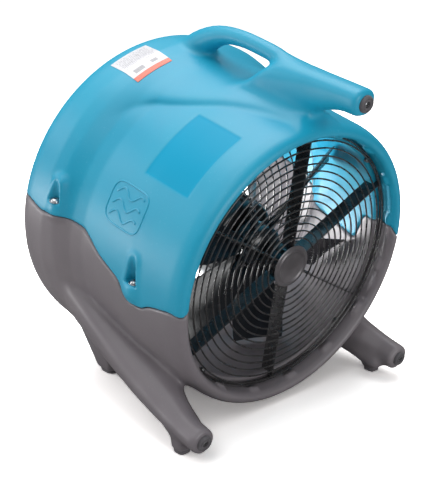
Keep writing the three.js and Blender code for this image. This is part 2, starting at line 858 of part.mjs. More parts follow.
function powerPlug() {
  const end = cordPath().getPoint(1);
  const down = (g, dz) => g.rotateX(Math.PI / 2).translate(end.x, end.y, end.z + dz);
  const neck = solid(down(new THREE.CylinderGeometry(7, 6, 14, 14), -2 * GAP - 7));
  const body = solid(new THREE.BoxGeometry(30, 22, 34).translate(end.x, end.y, end.z - GAP - 30));
  const face = end.z - GAP - 47;
  const blades = sidesOf.map((side) => {
    const x = end.x + side * 6.35;
    return box(x - 0.8, x + 0.8, end.y + 0.5, end.y + 6.8, face - 17, face + 1);
  });
  const pinShape = down(new THREE.CylinderGeometry(2.4, 2.4, 20, 10), -GAP - 47 - 9);
  const pin = solid(pinShape.translate(0, -5, 0));
  return union([neck, body, ...blades, pin]);
}

// Bent strip seated inside the rim; the cord hangs on its arm behind the machine.
function cordHook() {
  const t = 3;
  const outline = [
    [290, HOOK_R - t],
    [428, HOOK_R - t],
    [432, HOOK_R + 12],
    [429, HOOK_R + 12],
    [425, HOOK_R],
    [322, HOOK_R],
    [322, RIM_INSIDE_R - 2.6],
    [290, RIM_INSIDE_R - 2.6],
  ];
  const shape = new THREE.Shape(outline.map(([y, r]) => v2(y, r)));
  const strap = new THREE.ExtrudeGeometry(shape, { depth: 2 * HOOK_HALF, bevelEnabled: false });
  strap.translate(0, 0, -HOOK_HALF);
  strap.applyMatrix4(new THREE.Matrix4().makeBasis(v3(0, 1, 0), v3(0, 0, 1), v3(1, 0, 0)));
  return solid(atAngle(strap, HOOK_ANGLE));
}

// ---- label ----

// Thin sheet that follows the outside of the upper shell.
function ratingLabel() {
  const skin = (grow) => union([drum(grow), limb(0, handleSaddle, grow)]);
  const window = new THREE.BoxGeometry(68, 70, 60).translate(0, 285, 262);
  return skin(0.9).subtract(skin(GAP)).intersect(solid(atAngle(window, -22 * DEG)));
}

// ---- assembly ----
const air_mover = new THREE.Group();
const fan = new THREE.Group();
fan.rotation.x = PITCH;
air_mover.add(fan);

function put(group, name, shape, material) {
  const geometry = shape.isBufferGeometry ? shape : geometryOf(shape);
  const mesh = new THREE.Mesh(geometry, material);
  mesh.name = name;
  group.add(mesh);
}

const shell = housingBlank();
put(fan, "upper_housing", shell.intersect(partingBlock(0, true)), BLUE);
put(fan, "lower_housing", shell.intersect(partingBlock(-0.4, false)), GREY);

put(fan, "front_guard", frontGuard(), BLACK_STEEL);
put(fan, "front_guard_disc", guardDisc(), DISC_GREY);
put(fan, "rear_guard", rearGuard(), BLACK_STEEL);
guardScrewAngles.forEach((angle, k) => {
  const front = polar(angle, FRONT_SCREW_R, 0);
  const rear = polar(angle, REAR_SCREW_R, 0);
  put(fan, `front_guard_screw_${k + 1}`, axialScrew(front, 9.5 - GAP, 24, 1.9, 4, 2.6, 1), ZINC);
  put(fan, `rear_guard_screw_${k + 1}`, axialScrew(rear, REAR_LEDGE_Y + 3.6, 13, 1.9, 4, 2.6, -1), ZINC);
});

for (const [place, s] of Object.entries(HOUSING_SCREWS)) {
  put(fan, `housing_screw_left_${place}`, housingScrew(-1, s), ZINC);
  put(fan, `housing_screw_right_${place}`, housingScrew(1, s), ZINC);
}

const limbAngles = { handle: 0, left: -LEG_ANGLE, right: LEG_ANGLE };
for (const [name, angle] of Object.entries(limbAngles)) {
  put(fan, `bumper_${name}`, bumper(angle), RUBBER);
  put(fan, `bumper_screw_${name}`, bumperScrew(angle), ZINC);
}

put(air_mover, "foot_pad_front_left", footPad(FRONT_FOOT, -1), RUBBER);
put(air_mover, "foot_pad_front_right", footPad(FRONT_FOOT, 1), RUBBER);
put(air_mover, "foot_pad_rear_left", footPad(REAR_FOOT, -1), RUBBER);
put(air_mover, "foot_pad_rear_right", footPad(REAR_FOOT, 1), RUBBER);

put(fan, "impeller_hub", impellerHub(), IMPELLER);
put(fan, "hub_cap", hubCap(), IMPELLER);
put(fan, "impeller_nut", impellerNut(), ZINC);
bladeAngles().forEach((angle, k) => put(fan, `impeller_blade_${k + 1}`, blade(angle), IMPELLER));

put(fan, "motor_shaft", motorShaft(), STEEL);
put(fan, "rotor_core", rotorCore(), CORE);
put(fan, "stator_core", statorCore(), CORE);
put(fan, "motor_shell", motorShell(), MOTOR_PAINT);
put(fan, "motor_front_cover", motorCover(MOTOR_FRONT_Y, MOTOR_FRONT_Y + 12, SHAFT_R + 3), MOTOR_PAINT);
put(fan, "motor_rear_cover", rearCover(), MOTOR_PAINT);
put(fan, "front_bearing", bearing(MOTOR_FRONT_Y + 3.5), STEEL);
put(fan, "rear_bearing", bearing(MOTOR_REAR_Y - 12.5), STEEL);
motorBoltPlaces().forEach((p, k) => {
  put(fan, `motor_bolt_${k + 1}`, axialScrew(p, REAR_GUARD_Y + 2.5, 12, 2.5, 5, 3.5, -1), ZINC);
});
put(fan, "run_capacitor", runCapacitor(), ALUMINIUM);
put(fan, "capacitor_saddle", capacitorSaddle(), BLACK_PLASTIC);

put(fan, "control_panel", controlPanel(), BLACK_PLASTIC);
put(fan, "switch_body", switchBody(), BLACK_PLASTIC);
put(fan, "rocker_switch", rockerSwitch(), RED_PLASTIC);
put(fan, "breaker_body", breakerBody(), BLACK_PLASTIC);
put(fan, "breaker_button", breakerButton(), RED_PLASTIC);

put(fan, "cord_gland", cordGland(), BLACK_PLASTIC);
put(fan, "power_cord", powerCord(), BLACK_PLASTIC);
put(fan, "power_plug", powerPlug(), BLACK_PLASTIC);
put(fan, "cord_hook", cordHook(), STEEL);

put(fan, "rating_label", ratingLabel(), LABEL_WHITE);

// Stand the machine on the floor with the middle of its footprint box at the origin.
air_mover.updateMatrixWorld(true);
const bounds = new THREE.Box3().setFromObject(air_mover, true);
const middle = bounds.getCenter(v3());
air_mover.position.set(-middle.x, -middle.y, -bounds.min.z);

export default air_mover;
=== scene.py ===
"""Axial air mover: the looks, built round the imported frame. Lengths in the shape code are millimetres."""

import json
import math

import bmesh
import bpy
import numpy as np
from mathutils import Matrix, Vector


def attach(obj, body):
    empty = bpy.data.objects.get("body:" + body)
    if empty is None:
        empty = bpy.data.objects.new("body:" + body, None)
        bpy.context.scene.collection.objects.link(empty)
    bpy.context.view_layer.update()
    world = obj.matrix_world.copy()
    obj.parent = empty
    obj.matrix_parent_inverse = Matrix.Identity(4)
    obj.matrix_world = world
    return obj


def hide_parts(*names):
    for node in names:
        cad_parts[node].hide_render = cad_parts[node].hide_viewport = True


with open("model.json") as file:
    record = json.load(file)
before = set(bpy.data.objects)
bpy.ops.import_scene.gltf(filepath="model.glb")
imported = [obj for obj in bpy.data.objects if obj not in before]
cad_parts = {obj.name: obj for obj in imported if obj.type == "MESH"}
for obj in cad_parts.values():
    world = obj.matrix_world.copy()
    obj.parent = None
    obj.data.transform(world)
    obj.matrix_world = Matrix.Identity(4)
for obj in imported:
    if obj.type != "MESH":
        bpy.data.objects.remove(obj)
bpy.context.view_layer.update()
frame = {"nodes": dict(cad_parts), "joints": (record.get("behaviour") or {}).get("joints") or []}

DEG = math.pi / 180
MM = 0.001
SPIN = next(j for j in frame["joints"] if j["name"] == "impeller_spin")
PITCH = math.atan2(SPIN["axis"][2], SPIN["axis"][1])
# Fan frame: origin in the middle of the front guard, +Y back along the fan axis, +Z up, millimetres.
FAN = Matrix.Translation(SPIN["pos_m"]) @ Matrix.Rotation(PITCH, 4, "X") @ Matrix.Scale(MM, 4)
FAN_NP = np.array(FAN)

# ---- driving dimensions ----
# The CAD's own sizes, in the fan frame: R is a radius and Y a distance along the fan axis.
LEG_ANGLE = 131.8 * DEG
LIMB_TIP_Y = -83
LIMB_AXIS_R = 288
BUMPER_FACE_Y = -88
LIP_INSIDE_R = 212.5
RING_PITCH = 12
FIRST_RING_R = 47.3
RINGS = 14
WIRE_R = 1.35
GUARD_SCREWS = (45, 135, 225, 315)
SIDES = ((-1, "left"), (1, "right"))
REAR_Y = 346
PANEL_ANGLE = 62 * DEG
PANEL_R = 258
PANEL_Y = 286
SWITCH_Y = 268
BREAKER_Y = 304
MOTOR_FRONT_Y = 108
MOTOR_REAR_Y = 178
HUB_FRONT_Y = 64
HUB_REAR_Y = 104
BLADE_Y = 82
BLADE_ROOT_R = 37
BLADE_TIP_R = 194
BLADE_ANGLES = [(48 + 60 * k) * DEG for k in range(6)]
CAPACITOR_ANGLE = 205 * DEG
GLAND_R = 243
FRONT_SCREW_R = 206.6
REAR_SCREW_R = 227
REAR_GUARD_Y = 181.3
REAR_RING_R = 226
HOOK_ANGLE = 35 * DEG
HOOK_R = 247
HOOK_HALF = 8
COIL_R = 72
COIL_TURNS = 4
CORD_R = 4.2
FLOOR_Z = -243  # below the fan axis at the front guard

# Feet: x, y, half sizes in x and y, height of the top, and how much wider the top is.
FRONT_FOOT = (211, 8, 12.5, 13, -192, 1.2)
REAR_FOOT = (124, 303, 24, 20, -150, 2.0)
TAB_R, TAB_Y, TAB_FIRST, TAB_STEP = 213.4, -5.5, 12.5 * DEG, 22.5 * DEG
GUSSET = ((197, -10, -217), (193, 62, -199), 11, 12)
# Screws between the shells: the screw's y and x, its seat, and the pocket and lump round it.
SCREWS = {
    "front": {"y": 84, "x": 232.5, "seat": -9, "px": 237, "top_x": 245, "top": 36, "bulge": 229, "wide": 13},
    "rear": {"y": 264, "x": 256, "seat": 50, "px": 260, "top_x": 259, "top": 86, "bulge": 247, "wide": 11.5},
}

# Outlines as (radius, y): the outside of the drum and the inside of the air path.
DRUM = [
    (0, -22), (220, -22), (228, -19), (233, -11), (236, 3), (241, 100), (241, 208), (247, 234),
    (261, 261), (267, 284), (267, 322), (265, 335), (261, 343), (255, 346), (0, 346),
]
AIRWAY = [
    (0, -60), (224, -60), (217, -22), (212.5, -13), (212.5, 14), (202, 14), (202, 140), (207, 157),
    (221, 171), (221, 178), (233, 178), (233, 212), (244, 256), (251, 285), (251, 325), (247, 346),
    (247, 380), (0, 380),
]
# Limbs as (y, inner radius, outer radius, half width round the drum).
LEG = [
    (330, 225, 246, 98), (292, 225, 261, 104), (244, 225, 272, 100), (188, 225, 282, 84), (120, 228, 293, 62),
    (60, 234, 301, 42), (0, 252, 306, 28), (-49, 268, 308, 23), (-90, 268.5, 308, 22.5),
]
FIN = [
    (140, 215, 262, 44), (112, 215, 290, 42), (84, 215, 302, 40), (60, 215, 306, 36), (32, 236, 307, 31),
    (0, 252, 307, 26), (-49, 268.5, 307.5, 22.5), (-90, 269, 307.5, 22),
]
SADDLE = [
    (330, 225, 244, 120), (290, 225, 253, 138), (252, 225, 257, 140), (195, 225, 253, 113), (150, 225, 251, 86),
    (110, 225, 252, 63), (65, 225, 250, 42), (20, 225, 244, 26),
]
# Middle of the grip bar as (x, y, z, radius).
SPINE = [
    (0, 322, 226, 24), (0, 292, 247, 24), (0, 264, 270, 22.5), (0, 236, 289, 18), (0, 206, 301, 13.8),
    (0, 170, 305.5, 12.4), (0, 130, 304.8, 12.2), (0, 88, 300.5, 12.8), (0, 50, 285, 16),
]
# Height of the joint between the shells as (y, z): outside, inside, and the drop of the left lip.
PARTING_OUT = [
    (-150, 12), (-24, 12), (-2, 2), (20, -13), (46, -28), (62, -40), (90, -42), (104, -35),
    (113, -17), (163, 0), (208, 26), (250, 30), (290, 27), (324, 34), (430, 34),
]
PARTING_IN = [
    (-150, 12), (-20, 14), (-12, 26), (34, 28), (40, 24), (50, -20), (155, 0), (210, 20),
    (250, 33), (430, 34),
]
LEFT_DROP = [(-150, -26), (-15, -26), (-2, -16), (20, -7), (46, 0), (430, 0)]
# Radii with which the parts of the shells run into each other.
BLEND = {
    "saddle": 26, "fin": 19, "grip": 13, "foot": 14, "gusset": 16, "leg": 23, "leg_behind": 13, "lump": 12,
    "airway": 4.5, "tab": 4, "pocket": 4, "well": 3, "parting": 2.6,
}
LIMB_REAR_Y = 322
PAD_HIGH = 6.3
PATCH_ANGLES, PATCH_YS, PATCH_DEPTH = (26, 54), (33, 126), 0.9
WELL_DEEP, WELL_HALF = 1.5, (33.6, 43.6)
BORE_R = 8.4
GAP = 0.55  # half of the gap between the shells
PITCH_FINE, PITCH_QUICK = 3.0, 5.0


# ---- small geometry kit ----
def polar(angle, radius, y=0.0):
    return np.array([radius * math.sin(angle), y, radius * math.cos(angle)])


def turn(points, angle):
    """Rotates points about the fan axis so that the top goes to this angle."""
    p = np.asarray(points, float)
    c, s = math.cos(angle), math.sin(angle)
    return np.stack([p[:, 0] * c + p[:, 2] * s, p[:, 1], -p[:, 0] * s + p[:, 2] * c], 1)


def around(count):
    return 2 * np.pi * np.arange(count) / count


def squircle(count, power):
    """Unit ring between a circle (power 1) and a square (power near 0)."""
    c, s = np.cos(around(count)), np.sin(around(count))
    return np.stack([np.sign(c) * abs(c) ** power, np.sign(s) * abs(s) ** power], 1)


def to_row(points):
    return np.asarray(points, float) @ FAN_NP[:3, :3].T + FAN_NP[:3, 3]


def link(obj):
    bpy.context.scene.collection.objects.link(obj)
    return obj


def loft(rings):
    """Closed solid through rings of equal length, with flat ends."""
    n, last = len(rings[0]), (len(rings) - 1) * len(rings[0])
    faces = [tuple(range(n))[::-1], tuple(range(last, last + n))]
    for i in range(0, last, n):
        faces += [(i + k, i + (k + 1) % n, i + n + (k + 1) % n, i + n + k) for k in range(n)]
    return np.concatenate(rings), faces


def blur(v, sigma, axis=0):
    n = int(3 * sigma) + 1
    k = np.exp(-0.5 * (np.arange(-n, n + 1) / sigma) ** 2)
    k /= k.sum()
    pad = [(n, n) if a == axis else (0, 0) for a in range(v.ndim)]
    padded = np.pad(v, pad, mode="edge")
    return np.apply_along_axis(lambda m: np.convolve(m, k, mode="valid"), axis, padded)


def outward(verts, faces):
    """The faces of one closed solid, all pointing out."""
    volume = 0.0
    for n in {len(f) for f in faces}:
        q = verts[np.array([f for f in faces if len(f) == n])]
        for k in range(1, n - 1):
            volume += np.einsum("ij,ij->i", q[:, 0], np.cross(q[:, k], q[:, k + 1])).sum()
    return faces if volume > 0 else [tuple(f)[::-1] for f in faces]


def piece(name, parts, mats, node=None, body="housing", slot=None, smooth=40, place=to_row):
    """One mesh object from a list of (vertices, faces[, material index]).

    It stands for a CAD node and rides on a body.
    """
    verts, faces, index = [], [], []
    base = 0
    for part in parts:
        v = np.asarray(part[0], float)
        f = outward(v, part[1])
        verts.append(v)
        faces.extend([tuple(int(i) + base for i in q) for q in f])
        index.extend([part[2] if len(part) > 2 else 0] * len(f))
        base += len(v)
    mesh = bpy.data.meshes.new(name)
    mesh.from_pydata(place(np.concatenate(verts)).tolist(), [], faces)
    mesh.polygons.foreach_set("material_index", index)
    mesh.validate()
    mesh.shade_smooth()
    if smooth < 180:
        mesh.set_sharp_from_angle(angle=smooth * DEG)
    for m in mats:
        mesh.materials.append(m)
    return joined(mesh, body, node, slot)


def joined(mesh, body, node, slot=None):
    """A new object for a mesh, tied to its body and standing in for its CAD node, which it hides."""
    obj = link(bpy.data.objects.new(mesh.name, mesh))
    if slot is None:  # without the number that keeps the name apart from the CAD's own material
        slot = mesh.materials[0].name.split(".")[0]
    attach(obj, body)
    if node:
        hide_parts(node)
    return obj


def bevel(obj, width, segments=2, angle=40):
    m = obj.modifiers.new("bevel", "BEVEL")
    m.width = width * MM
    m.segments = segments
    m.limit_method = "ANGLE"
    m.angle_limit = angle * DEG
    m.harden_normals = True
    return obj


def turned(profile, segs=64, at=(0, 0, 0), upright=False):
    """Closed solid of revolution from (radius, along) points, about y or, upright, about z."""
    loops, verts, faces = [], [], []
    for r, y in profile:
        count = segs if r > 0 else 1
        loops.append(range(len(verts), len(verts) + count))
        verts.extend((r * math.sin(a), y, r * math.cos(a)) for a in around(count))
    count = len(loops)
    for i in range(count):
        a, b = loops[i], loops[(i + 1) % count]
        if len(a) == 1 and len(b) == 1:
            continue
        for k in range(segs):
            n = (k + 1) % segs
            if len(a) == 1:
                faces.append((a[0], b[n], b[k]))
            elif len(b) == 1:
                faces.append((a[k], a[n], b[0]))
            else:
                faces.append((a[k], a[n], b[n], b[k]))
    v = np.array(verts, float)
    return (v[:, [0, 2, 1]] if upright else v) + np.asarray(at, float), faces


def tube(path, radius, segs=10, closed=False):
    """Round bar along a path, with a frame carried from point to point and rounded ends."""
    p = np.asarray(path, float)
    n = len(p)
    tangent = np.roll(p, -1, 0) - np.roll(p, 1, 0) if closed else np.gradient(p, axis=0)
    tangent /= np.linalg.norm(tangent, axis=1)[:, None]
    up = np.array([0, 1.0, 0]) if abs(tangent[0][1]) < 0.9 else np.array([1.0, 0, 0])
    side = np.cross(tangent[0], up)
    side /= np.linalg.norm(side)
    radii = np.broadcast_to(np.asarray(radius, float), (n,))
    verts, faces = [], []
    a = around(segs)
    for i in range(n):
        side = side - tangent[i] * (side @ tangent[i])
        side /= np.linalg.norm(side)
        other = np.cross(tangent[i], side)
        verts.extend(p[i] + radii[i] * (np.outer(np.cos(a), side) + np.outer(np.sin(a), other)))
    for i in range(n if closed else n - 1):
        a, b = i * segs, (i + 1) % n * segs
        for k in range(segs):
            m = (k + 1) % segs
            faces.append((a + k, a + m, b + m, b + k))
    if not closed:
        for i, flip in ((0, True), (n - 1, False)):
            tip = len(verts)
            verts.append(p[i] + tangent[i] * radii[i] * (-0.45 if flip else 0.45))
            for k in range(segs):
                a, b = i * segs + k, i * segs + (k + 1) % segs
                faces.append((tip, b, a) if flip else (tip, a, b))
    return np.array(verts), faces


def circle(radius, y, segs):
    a = around(segs)
    return np.stack([radius * np.sin(a), np.full(segs, y), radius * np.cos(a)], 1)


def block(x0, x1, y0, y1, z0, z1):
    v = [(x, y, z) for x in (x0, x1) for y in (y0, y1) for z in (z0, z1)]
    f = [(0, 1, 3, 2), (4, 6, 7, 5), (0, 4, 5, 1), (2, 3, 7, 6), (0, 2, 6, 4), (1, 5, 7, 3)]
    return np.array(v, float), f


def prism(outline, half):
    """An outline of (y, z) points made into a slab this far to each side of x = 0."""
    return loft([np.array([(x, y, z) for y, z in outline], float) for x in (-half, half)])


def spline(points, count):
    """Catmull-Rom curve through points, sampled evenly in parameter."""
    p = np.asarray(points, float)
    p = np.vstack([2 * p[0] - p[1], p, 2 * p[-1] - p[-2]])
    out = []
    spans = len(p) - 3
    for t in np.linspace(0, spans, count):
        i = min(int(t), spans - 1)
        f = t - i
        a, b, c, d = p[i : i + 4]
        square, cube = 2 * a - 5 * b + 4 * c - d, 3 * b - a - 3 * c + d
        out.append(0.5 * (2 * b + (c - a) * f + square * f**2 + cube * f**3))
    return np.array(out)


# ---- signed distance fields ----
class Profile:
    """Signed distance to an outline in the (radius, y) plane, softened and read from a 1 mm grid."""

    LOW_Y, MOST_R, MOST_Y = -120, 340, 400

    def __init__(self, outline, soften):
        rr, yy = np.meshgrid(
            np.arange(0, self.MOST_R + 1.0), np.arange(self.LOW_Y, self.MOST_Y + 1.0), indexing="ij"
        )
        full = outline + [(-r, y) for r, y in reversed(outline) if r > 0]
        best = np.full(rr.shape, 1e9)
        inside = np.zeros(rr.shape, bool)
        for (ax, ay), (bx, by) in zip(full, full[1:] + full[:1]):
            ex, ey = bx - ax, by - ay
            length = ex * ex + ey * ey
            if length == 0:
                continue
            t = np.clip(((rr - ax) * ex + (yy - ay) * ey) / length, 0, 1)
            best = np.minimum(best, (rr - ax - t * ex) ** 2 + (yy - ay - t * ey) ** 2)
            crosses = (ay > yy) != (by > yy)
            if ey != 0:
                inside ^= crosses & (rr < ax + (yy - ay) * ex / ey)
        d = np.sqrt(best) * np.where(inside, -1, 1)
        d = blur(blur(d, soften, 0), soften, 1)
        self.d = d.astype(np.float32)

    def __call__(self, r, y):
        u = np.clip(r, 0, self.MOST_R - 0.1)
        v = np.clip(y - self.LOW_Y, 0, self.MOST_Y - self.LOW_Y - 0.1)
        i, j = u.astype(np.int32), v.astype(np.int32)
        u, v = u - i, v - j
        d = self.d
        near, far = d[i, j] * (1 - u) + d[i + 1, j] * u, d[i, j + 1] * (1 - u) + d[i + 1, j + 1] * u
        return near * (1 - v) + far * v


class Table:
    """A smooth function of y from stations whose first value is y and whose given column is the result."""

    LOW_Y, MOST_Y = -200, 450

    def __init__(self, stations, sigma, column=1):
        s = np.array(sorted(stations), float)
        v = np.interp(np.arange(self.LOW_Y, self.MOST_Y + 1.0), s[:, 0], s[:, column])
        self.v = blur(v, sigma).astype(np.float32)

    def __call__(self, y):
        t = np.clip(y - self.LOW_Y, 0, self.MOST_Y - self.LOW_Y - 0.1)
        i = t.astype(np.int32)
        t = t - i
        return self.v[i] * (1 - t) + self.v[i + 1] * t


def smin(a, b, k):
    h = np.clip(0.5 + 0.5 * (b - a) / k, 0, 1)
    return b + (a - b) * h - k * h * (1 - h)


def smax(a, b, k):
    return -smin(-a, -b, k)


def wrap_to(a, period):
    return (a + period / 2) % period - period / 2


def step(v, a, b):
    t = np.clip((v - a) / (b - a), 0, 1)
    return t * t * (3 - 2 * t)


class Limb:
    """A limb along the fan axis: an oval section bent round the drum, its size given at stations."""

    def __init__(self, stations, sigma=9):
        self.tables = [Table(stations, sigma, column) for column in (1, 2, 3)]

    def __call__(self, theta, r, y, front, rear, lean=0.0):
        """Distance to the limb between two ends along y; the rear end may lean forward with the radius."""
        inner, outer, half = [table(y) for table in self.tables]
        rise = (outer - inner) / 2
        a = np.abs(theta * outer) / half
        b = np.abs(r - (inner + outer) / 2) / rise
        a15, b15 = a * np.sqrt(a), b * np.sqrt(b)
        k = np.maximum((a * a15 + b * b15) ** 0.4, 1e-3)
        slope = np.sqrt((a15 / half) ** 2 + (b15 / rise) ** 2) / (k * np.sqrt(k)) + 1e-6
        d = smax((k - 1) / slope, front - y, 9)
        return smax(d, (y - rear + lean * (r - 286)) / math.hypot(1, lean), 14)


def capsule(p, a, b, ra, rb):
    """Distance to a round bar from a to b whose radius goes from ra to rb."""
    a, b = np.asarray(a, np.float32), np.asarray(b, np.float32)
    e = b - a
    t = np.clip(((p - a) @ e) / (e @ e), 0, 1)
    q = p - a - t[:, None] * e
    return np.sqrt((q * q).sum(1)) - (ra + (rb - ra) * t)


drum_profile = Profile(DRUM, 3.2)
air_profile = Profile(AIRWAY, 1.4)
leg_limb, fin_limb, saddle_limb = Limb(LEG), Limb(FIN), Limb(SADDLE, 14)
parting_out, parting_in, left_drop = Table(PARTING_OUT, 5), Table(PARTING_IN, 2), Table(LEFT_DROP, 5)
spine = spline(SPINE, 22)


def skin(p):
    """Distance to the outside of both shells, before the airway is cut out."""
    x, y, z = p.T
    ax = np.abs(x)
    r = np.sqrt(x * x + z * z)
    theta = np.arctan2(x, z)
    d = drum_profile(r, y)
    d = smin(d, saddle_limb(theta, r, y, 5, LIMB_REAR_Y), BLEND["saddle"])
    d = smin(d, fin_limb(theta, r, y, LIMB_TIP_Y, 98, 0.9), BLEND["fin"])
    near = np.flatnonzero((ax < 70) & (z > 190) & (y > 20) & (y < 350))
    if len(near):
        q = p[near]
        grip = np.full(len(near), 1e3, np.float32)
        for a, b in zip(spine, spine[1:]):
            grip = np.minimum(grip, capsule(q, a[:3], b[:3], a[3], b[3]))
        d[near] = smin(d[near], grip, BLEND["grip"])
    legs = leg_limb(np.abs(theta) - LEG_ANGLE, r, y, LIMB_TIP_Y, LIMB_REAR_Y)
    c, s = math.cos(PITCH), math.sin(PITCH)
    level = np.stack([ax, y * c - z * s, y * s + z * c], 1)
    for foot in (FRONT_FOOT, REAR_FOOT):
        legs = smin(legs, foot_block(level, *foot), BLEND["foot"])
    legs = smin(legs, capsule(level, *GUSSET), BLEND["gusset"])
    d = smin(d, legs, BLEND["leg"] - BLEND["leg_behind"] * step(y, 10, 80))
    q = np.stack([ax, y, z], 1)
    for v in SCREWS.values():
        low, high = [(v["bulge"], v["y"], at) for at in (v["seat"] - 12, v["top"] - 8)]
        lump = capsule(q, low, high, 17, 11)
        d = smin(d, lump, BLEND["lump"])
    return d + sunk_patch(theta, y)


def foot_block(level, fx, fy, hx, hy, top, spread, corner=7):
    """Distance to a foot: an upright block with rounded corners that widens towards its top."""
    x, y, z = level.T
    bottom = FLOOR_Z + PAD_HIGH
    grow = 1 + (spread - 1) * np.clip((z - bottom) / (top - bottom), 0, 1)
    qx = np.abs(x - fx) - hx * grow + corner
    qy = np.abs(y - fy) - hy * grow + corner
    qz = np.abs(z - (bottom + top) / 2) - (top - bottom) / 2 + 3
    wide = np.sqrt(np.maximum(qx, 0) ** 2 + np.maximum(qy, 0) ** 2)
    return smax(wide + np.minimum(np.maximum(qx, qy), 0) - corner, qz - 3, 5)


def sunk_patch(theta, y):
    """How far the surface is sunk: a rectangle on each side of the drum."""
    t = np.abs(theta) / DEG
    (a0, a1), (y0, y1) = PATCH_ANGLES, PATCH_YS
    across = step(t, a0, a0 + 1.2) * (1 - step(t, a1, a1 + 1.2))
    return PATCH_DEPTH * across * step(y, y0, y0 + 4) * (1 - step(y, y1, y1 + 4))


def shells(p):
    """Distances to the upper shell and the lower shell."""
    x, y, z = p.T
    r = np.sqrt(x * x + z * z)
    d = smax(skin(p), -air_profile(r, y), BLEND["airway"])
    along = wrap_to(np.arctan2(x, z) - TAB_FIRST, TAB_STEP) * TAB_R
    tab = np.sqrt(np.maximum(np.abs(along) - 6, 0) ** 2 + (r - TAB_R) ** 2 + (y - TAB_Y) ** 2) - 5.2
    d = smin(d, tab, BLEND["tab"])
    q = np.stack([np.abs(x), y, z], 1)
    for v in SCREWS.values():
        pocket = capsule(q, (v["px"], v["y"], v["seat"]), (v["top_x"], v["y"], v["top"]), v["wide"], 5)
        d = smax(d, -smax(pocket, v["seat"] - z, 2), BLEND["pocket"])
    # the well that holds the control panel, and the breaker's bore in its floor
    u, v, w = turn(p, -PANEL_ANGLE).T
    sides = np.maximum(np.abs(u) - WELL_HALF[0], np.abs(v - PANEL_Y) - WELL_HALF[1])
    well = np.maximum(sides, PANEL_R - WELL_DEEP - w)
    d = smax(d, -well.astype(np.float32), BLEND["well"])
    bore = np.maximum(np.hypot(u, v - BREAKER_Y) - BORE_R, PANEL_R - 14 - w)
    d = np.maximum(d, -bore.astype(np.float32))
    outer = step(r, 216, 226)

    def height(at):
        return parting_out(at) * outer + parting_in(at) * (1 - outer) + left_drop(at) * (x < 0)

    line = height(y)
    part = (z - line) / np.sqrt(1 + ((height(y + 2) - line) / 2) ** 2)
    return smax(d, GAP - part, BLEND["parting"]), smax(d, part + GAP, BLEND["parting"])


EDGES = [
    (a, b)
    for a in np.ndindex(2, 2, 2)
    for b in np.ndindex(2, 2, 2)
    if sum(b) - sum(a) == 1 and all(u <= v for u, v in zip(a, b))
]


def in_chunks(field, p, size=150000):
    """The field's values at many points, worked out a part at a time to save memory."""
    return [np.concatenate(c) for c in zip(*[field(p[i : i + size]) for i in range(0, len(p), size)])]


def surface_net(value, origin, pitch):
    """Quads round each grid edge where the field changes sign; one vertex per crossed cell."""
    inside = value < 0
    n = inside.shape
    total = np.zeros([k - 1 for k in n], np.uint8)
    for c in np.ndindex(2, 2, 2):
        total += inside[tuple(slice(k, n[axis] - 1 + k) for axis, k in enumerate(c))]
    cells = np.argwhere((total > 0) & (total < 8))
    number = np.full(total.shape, -1, np.int32)
    number[tuple(cells.T)] = np.arange(len(cells))
    place, count = np.zeros((len(cells), 3)), np.zeros(len(cells))
    for a, b in EDGES:
        va, vb = value[tuple((cells + a).T)], value[tuple((cells + b).T)]
        hit = (va < 0) != (vb < 0)
        t = np.where(hit, va / np.where(hit, va - vb, 1), 0)
        place[hit] += np.array(a) + t[hit, None] * (np.array(b) - np.array(a))
        count[hit] += 1
    verts = origin + pitch * (cells + place / count[:, None])
    faces = []
    for axis in range(3):
        u, v = [k for k in range(3) if k != axis]
        lo = [slice(1, None)] * 3
        lo[axis] = slice(0, n[axis] - 1)
        lo[u] = slice(1, n[u] - 1)
        lo[v] = slice(1, n[v] - 1)
        hi = list(lo)
        hi[axis] = slice(1, n[axis])
        first, second = inside[tuple(lo)], inside[tuple(hi)]
        at = np.argwhere(first != second)
        flip = second[tuple(at.T)] ^ (axis == 1)
        corners = []
        for du, dv in ((0, 0), (1, 0), (1, 1), (0, 1)):
            c = at.copy()
            c[:, u] += du
            c[:, v] += dv
            corners.append(number[tuple(c.T)])
        quad = np.stack(corners, 1)
        quad[flip] = quad[flip][:, ::-1]
        faces.append(quad)
    return verts, np.concatenate(faces)


def build_shells():
    """Both shells as nets: coarse blocks everywhere, and fine cells only in the blocks near a surface."""
    pitch = PITCH_FINE
    coarse = 4
    big = pitch * coarse
    low, size = np.array([-284, -92, -300.0]), np.array([568, 452, 636.0])
    blocks = np.ceil(size / big).astype(int)
    grid = np.meshgrid(*[low[k] + (np.arange(blocks[k]) + 0.5) * big for k in range(3)], indexing="ij")
    rough = in_chunks(shells, np.stack(grid, -1).reshape(-1, 3).astype(np.float32))
    reach = big * 0.87 * 1.45 + pitch

    def spread(values):
        values = values.reshape(blocks)
        for k in range(3):
            values = np.repeat(values, coarse, axis=k)
        return np.ascontiguousarray(values)

    where = np.argwhere(spread((np.abs(rough[0]) < reach) | (np.abs(rough[1]) < reach)))
    fine = in_chunks(shells, (low + (where + 0.5) * pitch).astype(np.float32))
    nets = []
    for rough_d, fine_d in zip(rough, fine):
        value = spread(rough_d)
        value[tuple(where.T)] = fine_d
        nets.append(surface_net(value, low + 0.5 * pitch, pitch))
    return nets


